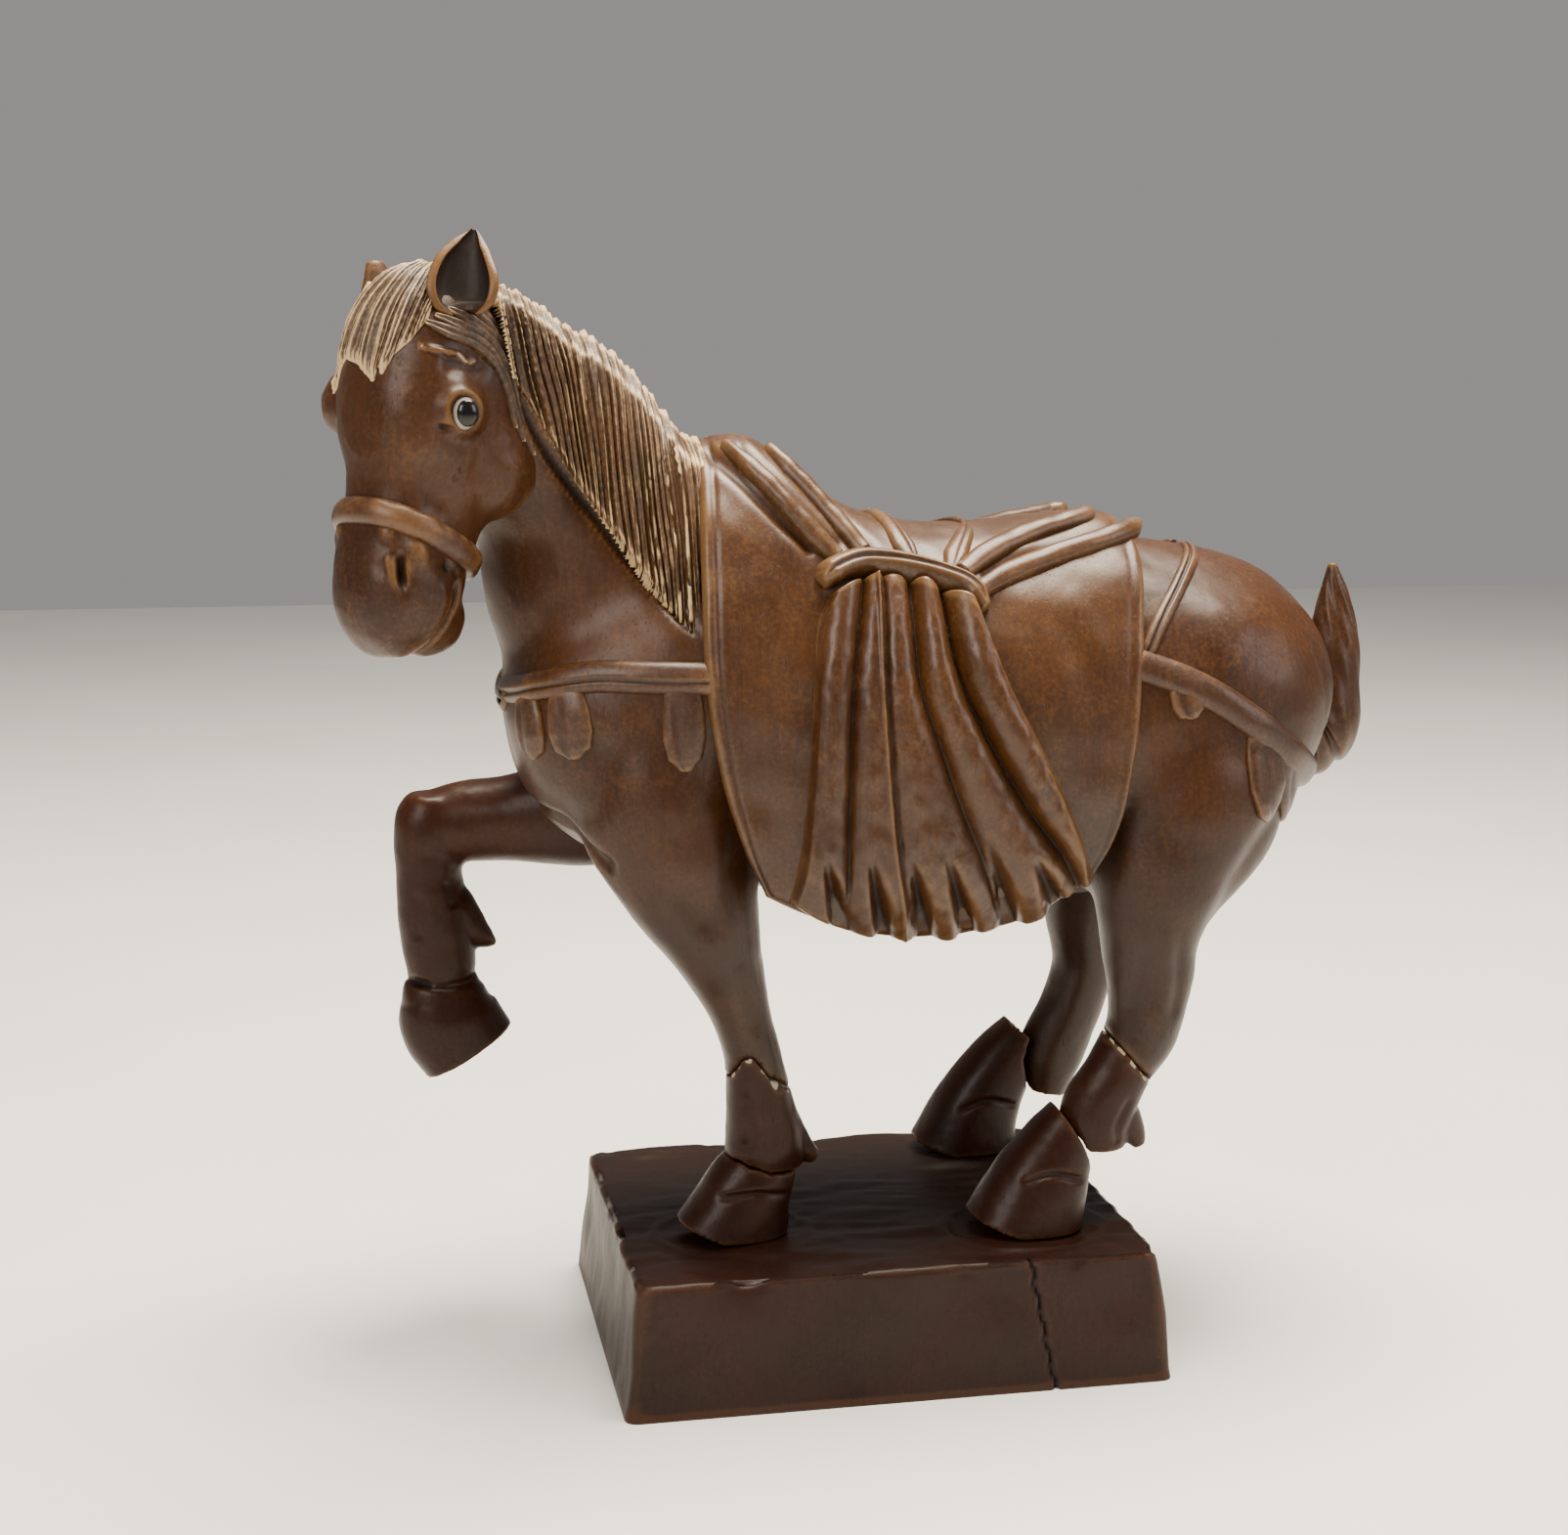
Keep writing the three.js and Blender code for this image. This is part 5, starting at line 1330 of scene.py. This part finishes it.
def clothHalf(side):
    # between the front and rear edges across, and the hem and the crest upwards
    f, r = through(frontEdge, v), through(rearEdge, v)
    low, top = through(hemEdge, u), through(topEdge, u)
    a, b = u[..., None], v[..., None]
    lowCorners = (1 - a) * (1 - b) * frontEdge[0] + a * (1 - b) * rearEdge[0]
    corners = lowCorners + (1 - a) * b * frontEdge[-1] + a * b * rearEdge[-1]
    flat = (1 - a) * f + a * r + (1 - b) * low + b * top - corners
    return drapeAt(flat[..., 0], flat[..., 1], side)


cloth = np.concatenate([clothHalf(-1), clothHalf(1)[:, -2::-1]], axis=1)
s = np.abs(np.linspace(-1, 1, cloth.shape[1]))[None, :]
# about how many millimetres each spot lies from the hem, the front edge and the rear edge
hemAway = (1 - s) * 95
frontAway = u[:, :1] * 74
rearAway = (1 - u[:, :1]) * 74
ups = gridNormals(cloth)
ups *= np.sign((ups * (cloth - [10, midline, 106])).sum(-1).mean())
edgeAway = np.minimum(np.minimum(frontAway, rearAway), hemAway)
frontOnly = ease((0.5 - u[:, :1]) * 4)
lip = 0.16 * np.exp(-((edgeAway - 1.2) / 0.8) ** 2) - 0.34 * np.exp(-((edgeAway - 2.5) / 0.45) ** 2)
lip = lip * (0.3 + 0.7 * frontOnly)
rounding = -0.9 * np.maximum(1 - edgeAway / 1.1, 0) ** 2
sag = 0.3 * np.sin(cloth[..., 0] * 0.22 + s * 5) * s * ease(s * 2 - 0.4)
flatCloth = cloth[..., [0, 2]].reshape(-1, 2)
for line in drape["channels"]:
    away, _ = farFrom(flatCloth, through(line, np.linspace(0, 1, 14)))
    sag -= 1.1 * np.exp(-(away.reshape(sag.shape) / 1.15) ** 2)
height = lip + rounding + sag + ripple(cloth, 9, 31) * 0.09 + ripple(cloth, 3.5, 32) * 0.014
outer = cloth + ups * height[..., None]
inner = cloth - ups * drape["thick"]
place("saddle_drape", Clay(shell(outer, inner)), "cloth_wood", "saddle_cloth")
print("cloth")

# the pleated fall under the knot: its outline in side view, its valleys and the dents over its hem
fall = {
    "left": [(-10.6, 134.5), (-12.9, 129.4), (-13.9, 117.7), (-14.7, 104.9), (-16.0, 92), (-17.6, 84.0)],
    "right": [(14.2, 131.5), (18.8, 120.6), (25.2, 108.2), (30.6, 97.5), (35.0, 86.6)],
    "top": [(-10.6, 134.5), (-4, 136.4), (4, 135.4), (14.2, 131.5)],
    "hem": [(-17.6, 84.0), (-12, 80.4), (-4.5, 77.4), (7, 75.8), (17.5, 76.6), (26.5, 79.8), (35.0, 86.6)],
    # each valley: its line down the fall, its own height, and how high the pleat on its rear side stands
    "valleys": [
        ([(-11.0, 137), (-13.6, 121), (-14.6, 104), (-16.4, 90), (-18.2, 76)], 0.1, 2.6),
        ([(-4.8, 137), (-7.3, 121.2), (-8.1, 99.8), (-8.2, 88), (-7.6, 76)], -0.4, 2.1),
        ([(-1.6, 137), (-1.8, 118.5), (0.2, 95), (2.6, 84), (5, 76)], 0.4, 1.9),
        ([(3.3, 137), (3.7, 121), (7.0, 110.4), (11.0, 99.3), (16.0, 88), (20.5, 76)], -0.7, 3.9),
        ([(8.0, 137), (10.2, 121.9), (15.6, 110.1), (22.4, 98.9), (29.4, 90.0), (35.0, 80)], -0.9, 4.4),
        ([(14.6, 137), (19.0, 120.6), (25.4, 108.2), (30.8, 97.5), (35.8, 86.6), (39, 76)], 0.1, 0.0),
    ],
    "fineLine": [(-2.9, 137), (-2.8, 118.5), (-0.9, 95), (1.2, 84), (3, 76)],
    "puckers": [[(-13.0, 95), (-11.2, 88), (-8.6, 78.5)], [(-5.4, 95), (-3.6, 87), (-0.6, 77)],
                [(1.4, 93.4), (3.8, 86), (7.0, 76)], [(7.0, 95), (10.4, 86.4), (14.4, 76.6)],
                [(14.6, 95), (17.8, 87.4), (21.6, 78.4)], [(21.6, 93), (25.0, 88.4), (28.8, 82)]],
    "grid": (190, 160),
}


def foldHeight(x, z):
    # pleats between valleys: the valley heights joined straight, plus pleat * (1 - |2t - 1|^2.1)^0.72,
    # and one fine ridge, 0.7 * exp(-(distance / 0.4)^2)
    at = [readAlong(line, 1, 0, z) for line, _, _ in fall["valleys"]]
    total = np.zeros(x.shape)
    for k in range(len(at) - 1):
        low, high = fall["valleys"][k][1], fall["valleys"][k + 1][1]
        t = (x - at[k]) / np.maximum(at[k + 1] - at[k], 0.8)
        inside = (t >= 0) & (t < 1)
        crown = fall["valleys"][k][2] * np.maximum(1 - np.abs(2 * np.clip(t, 0, 1) - 1) ** 2.1, 0) ** 0.72
        total = np.where(inside, low + (high - low) * t + crown, total)
    fine = np.abs(x - readAlong(fall["fineLine"], 1, 0, z))
    return total + 0.7 * np.exp(-(fine / 0.4) ** 2)


def pleated(side):
    # the fall's own sheet, raised by its folds and dented by the puckers over the hem
    columns, rows = fall["grid"]
    a, b = np.meshgrid(np.linspace(0, 1, columns), np.linspace(0, 1, rows), indexing="ij")
    flat = patch(fall["left"], fall["right"], fall["top"], fall["hem"], a, b)
    x, z = flat[..., 0], flat[..., 1]
    hem = readAlong(fall["hem"], 0, 1, x)
    tuck = ease((z - hem + 1.5) / 13)
    lift = 1.3 + foldHeight(x, z) * (0.5 + 0.5 * tuck) + 1.2 * tuck * ease((100 - z) / 12)
    points = np.stack([x.ravel(), z.ravel()], -1)
    for line in fall["puckers"]:
        d, t = farFrom(points, through(line, np.linspace(0, 1, 12)))
        lift -= (3.4 * np.exp(-(d / (0.6 + 0.95 * t)) ** 2) * ease(t / 0.75)).reshape(x.shape)
    lift = np.maximum(lift, 0.25)
    edge = np.minimum(np.minimum(a, 1 - a) * 30, (1 - b) * 50)
    lift = lift * np.clip(edge, 0, 1) ** 0.5
    p, n = onDrape(x, z, side, lift)
    p = p + n * (ripple(p, 3.0, 41) * 0.05)[..., None]
    under, _ = onDrape(x, z, side, 0 * lift - 1.2)
    return Clay(shell(p, under))


def drapeBand(side, line, halfWidth, rise, lift, profile, relief, steps=100, sink=1.4):
    # a roll laid along a side-view line on the drape, its width following a profile
    flat = evenly(line, steps)
    p, n = onDrape(flat[:, 0], flat[:, 1], side, np.full(steps, lift))
    t = np.linspace(0, 1, steps)
    full = np.interp(t, *profile)
    return Clay(ribbon(p, n, halfWidth * full, rise * np.sqrt(full), sink, 24, relief))


def knotRelief(u, s):
    # one wandering groove, -0.8 * exp(-(distance / 0.16)^2), fading at both ends
    groove = -0.8 * np.exp(-((s - 0.1 + 0.15 * np.sin(u * 5)) / 0.16) ** 2)
    return groove * ease(u / 0.08) * ease((1 - u) / 0.1)


# each tie: its line, half width, rise and lift, its width along it, and the cuts on it
frontTaper = ([0, 0.2, 0.8, 1], [0.5, 0.9, 1, 0.8])
leafTaper = ([0, 0.3, 0.7, 1], [0.5, 1, 0.8, 0.05])
ties = {
    "knot_band": ([(-12.0, 136.6), (-9.6, 138.2), (-5, 139.0), (2, 138.0), (9, 136.2), (13.4, 134.4),
                   (15.8, 131.4)],
                  2.6, 4.0, 0.4, ([0, 0.06, 0.5, 0.92, 1], [0.45, 0.9, 1, 0.95, 0.5]), knotRelief),
    "front_outer_roll": ([(-25, 158.6), (-19, 152.2), (-12.5, 144.6), (-8.6, 140.6)], 1.9, 2.0, 0,
                         frontTaper, rollRelief),
    "front_inner_roll": ([(-17.5, 158), (-11, 150.6), (-5.6, 144.0), (-3.6, 141.2)], 1.9, 2.0, 0,
                         frontTaper, rollRelief),
    "rear_outer_roll": ([(47.6, 144.6), (34, 141.2), (22.6, 137.8), (15.4, 134.8)], 2.0, 2.0, 0,
                        ([0, 0.05, 0.8, 1], [0.55, 0.95, 1, 0.8]), rollRelief),
    "rear_inner_roll": ([(39.8, 146.4), (28.5, 143.8), (19.5, 140.8), (13.4, 137.6)], 2.2, 2.0, 0,
                        ([0, 0.05, 0.8, 1], [0.6, 0.95, 1, 0.8]), rollRelief),
    "front_tie_leaf": ([(5.4, 138.6), (4.4, 141.6), (3.4, 145.0), (2.0, 149.2)], 2.1, 1.3, 0,
                       leafTaper, leafRelief),
    "rear_tie_leaf": ([(11.2, 137.6), (13.2, 140.6), (15.8, 143.2), (18.8, 145.8)], 2.1, 1.3, 0,
                      leafTaper, leafRelief),
}
for side, label in ((-1, "left"), (1, "right")):
    place(f"pleats_{label}", pleated(side), "cloth_wood", f"pleated_fall_{label}")
    for name, tie in ties.items():
        place(f"{name}_cut_{label}", drapeBand(side, *tie), "cloth_wood", f"{name}_{label}")
print("pleats and ties")


# the plinth, a block with uneven sides and a drying crack
plinthForm = {
    "half": (45.0, 36.0), "top": 22.6, "flare": 2.2, "corner": 2.0, "farCorner": 9.0, "topDip": 0.8,
    "crack": [(21.9, 23.5), (23.4, 16), (24.6, 9), (26.5, -1)],
    "ridges": [(-25.3, -12, 13.4, 11.2), (25.4, -19, 13.8, 11.6), (26.8, 26, 13.6, 9.4)],  # middle and radii
    "around": 560, "topRows": 100, "sideRows": 44,
}
around, top = plinthForm["around"], plinthForm["top"]
turn = np.linspace(0, 2 * math.pi, around, endpoint=False) + 0.003
hx, hy = plinthForm["half"]
c, s = np.cos(turn), np.sin(turn)
k = np.minimum(hx / np.maximum(np.abs(c), 1e-6), hy / np.maximum(np.abs(s), 1e-6))
square = np.stack([c * k, s * k], -1)


def rounded(points, radius):
    # each corner drawn in to a quarter circle of its own radius
    inside = np.array([hx, hy]) - radius[:, None]
    over = np.abs(points) - inside
    corner = np.all(over > 0, axis=1)
    pulled = inside + unit(np.maximum(over, 1e-6)) * radius[:, None]
    return np.where(corner[:, None], np.sign(points) * pulled, points)


radius = np.where((square[:, 0] > 0) & (square[:, 1] > 0), plinthForm["farCorner"], plinthForm["corner"])
outline = rounded(square, radius)


def level(grow, z):
    # the outline scaled by a factor, at one height
    return np.concatenate([outline * grow, np.full((around, 1), z)], 1)


# rings run out over the top, down the flared sides and back in under the foot
topSteps = np.sin(np.linspace(0, 1, plinthForm["topRows"]) * math.pi / 2)[1:]
rings = [level(f - plinthForm["topDip"] / hx * ease((f - 0.9) / 0.1), top) for f in topSteps]
for f in np.linspace(0, 1, plinthForm["sideRows"])[1:]:
    rings.append(level(1 + plinthForm["flare"] * f / 42, top * (1 - f)))
for f in (0.985, 0.5, 0.05):
    rings.append(level((1 + plinthForm["flare"] / 42) * f, 0.0))
plinth = Clay(tube(np.stack(rings)))
v = plinth.verts
n = plinth.normals()
onTop = 0.35 + 0.65 * ease(n[:, 2] * 1.5)
cuts = ripple(v * [0.5, 1.6, 1], 9.5, 51) * 0.10 * onTop + ripple(v * [0.6, 1.5, 1.2], 4.2, 52) * 0.03 * onTop
cuts = cuts + ripple(v, 17, 53) * 0.16
soft = ease(v[:, 2] / 2.0)
v = v + n * (cuts * soft)[:, None]
chip = np.maximum(ripple(v, 9, 54) - 1.35, 0) * 0.9
outside = np.maximum(np.abs(v[:, 0]) / hx, np.abs(v[:, 1]) / hy) > 0.97
rim = np.exp(-((top - v[:, 2]) / 1.3) ** 2) * outside
v = v - n * (chip * rim)[:, None]
# low ridges left round the feet where the gouge stopped
for x, y, rx, ry in plinthForm["ridges"]:
    away = np.sqrt(((v[:, 0] - x) / rx) ** 2 + ((v[:, 1] - y) / ry) ** 2)
    flatTop = v[:, 2] > top - 1.5
    v[:, 2] += flatTop * 0.4 * np.exp(-((away - 1) / 0.07) ** 2)
v[:, 2] = np.minimum(v[:, 2], top + 0.28)
# the crack down the near side: 1.3 * exp(-(distance / 0.32)^2) deep
crackX = readAlong(plinthForm["crack"], 1, 0, v[:, 2]) + 0.3 * np.sin(v[:, 2] * 1.3)
crackCut = 1.3 * np.exp(-((v[:, 0] - crackX) / 0.32) ** 2) * (v[:, 1] < -hy + 2.5)
plinth.verts = v + np.array([0, 1.0, 0]) * crackCut[:, None]
place("plinth_block", plinth, "plinth_wood", "plinth")
print("plinth")


# floor, light and camera

def floorSheet(half=1500.0):
    # a wide level sheet, a square of the given half length
    corners = np.array([(-1, -1, 0), (1, -1, 0), (1, 1, 0), (-1, 1, 0)]) * half
    mesh = meshOf("floor", corners, np.array([[0, 1, 2, 3]]), noTris)
    shade = Shade("pale floor")
    grain = shade.noise(shade.place(), 6, 3)
    tone = shade.mix(grain.between(0.3, 0.7), (0.70, 0.69, 0.67), (0.74, 0.73, 0.71))
    mesh.materials.append(shade.finish({"Base Color": tone, "Roughness": 0.62 + grain * 0.1}))
    obj = bpy.data.objects.new("floor", mesh)
    bpy.context.scene.collection.objects.link(obj)


floorSheet()
world = bpy.data.worlds.new("studio")
bpy.context.scene.world = world
world.use_nodes = True
world.node_tree.nodes["Background"].inputs[0].default_value = (1.0, 0.98, 0.95, 1)
world.node_tree.nodes["Background"].inputs[1].default_value = 0.30
# each lamp: its place, what it points at, its size, its power and its tint
lamps = {
    "overhead": ((0.10, 0.05, 0.80), (0.0, 0.0, 0.1), 0.5, 28.0, (1.0, 0.90, 0.74)),
    "left window": ((-0.70, -0.70, 0.62), (-0.02, 0.0, 0.1), 0.55, 9.0, (1.0, 0.95, 0.88)),
    "right fill": ((0.85, -0.45, 0.50), (0.02, 0.0, 0.1), 0.5, 4.0, (1.0, 0.98, 0.95)),
}
for name, (at, aim, size, power, tint) in lamps.items():
    light = bpy.data.lights.new(name, "AREA")
    light.energy, light.size, light.color = power, size, tint
    lamp = bpy.data.objects.new(name, light)
    lamp.location = at
    lamp.rotation_euler = (Vector(aim) - Vector(at)).to_track_quat("-Z", "Y").to_euler()
    bpy.context.scene.collection.objects.link(lamp)

lens = bpy.data.cameras.new("camera")
lens.lens, lens.sensor_width = 53.87, 36
camera = bpy.data.objects.new("camera", lens)
camera.location = (-0.0912, -0.3995, 0.1677)
camera.rotation_euler = (math.radians(80.9), 0, math.radians(-11))
bpy.context.scene.collection.objects.link(camera)
bpy.context.scene.camera = camera
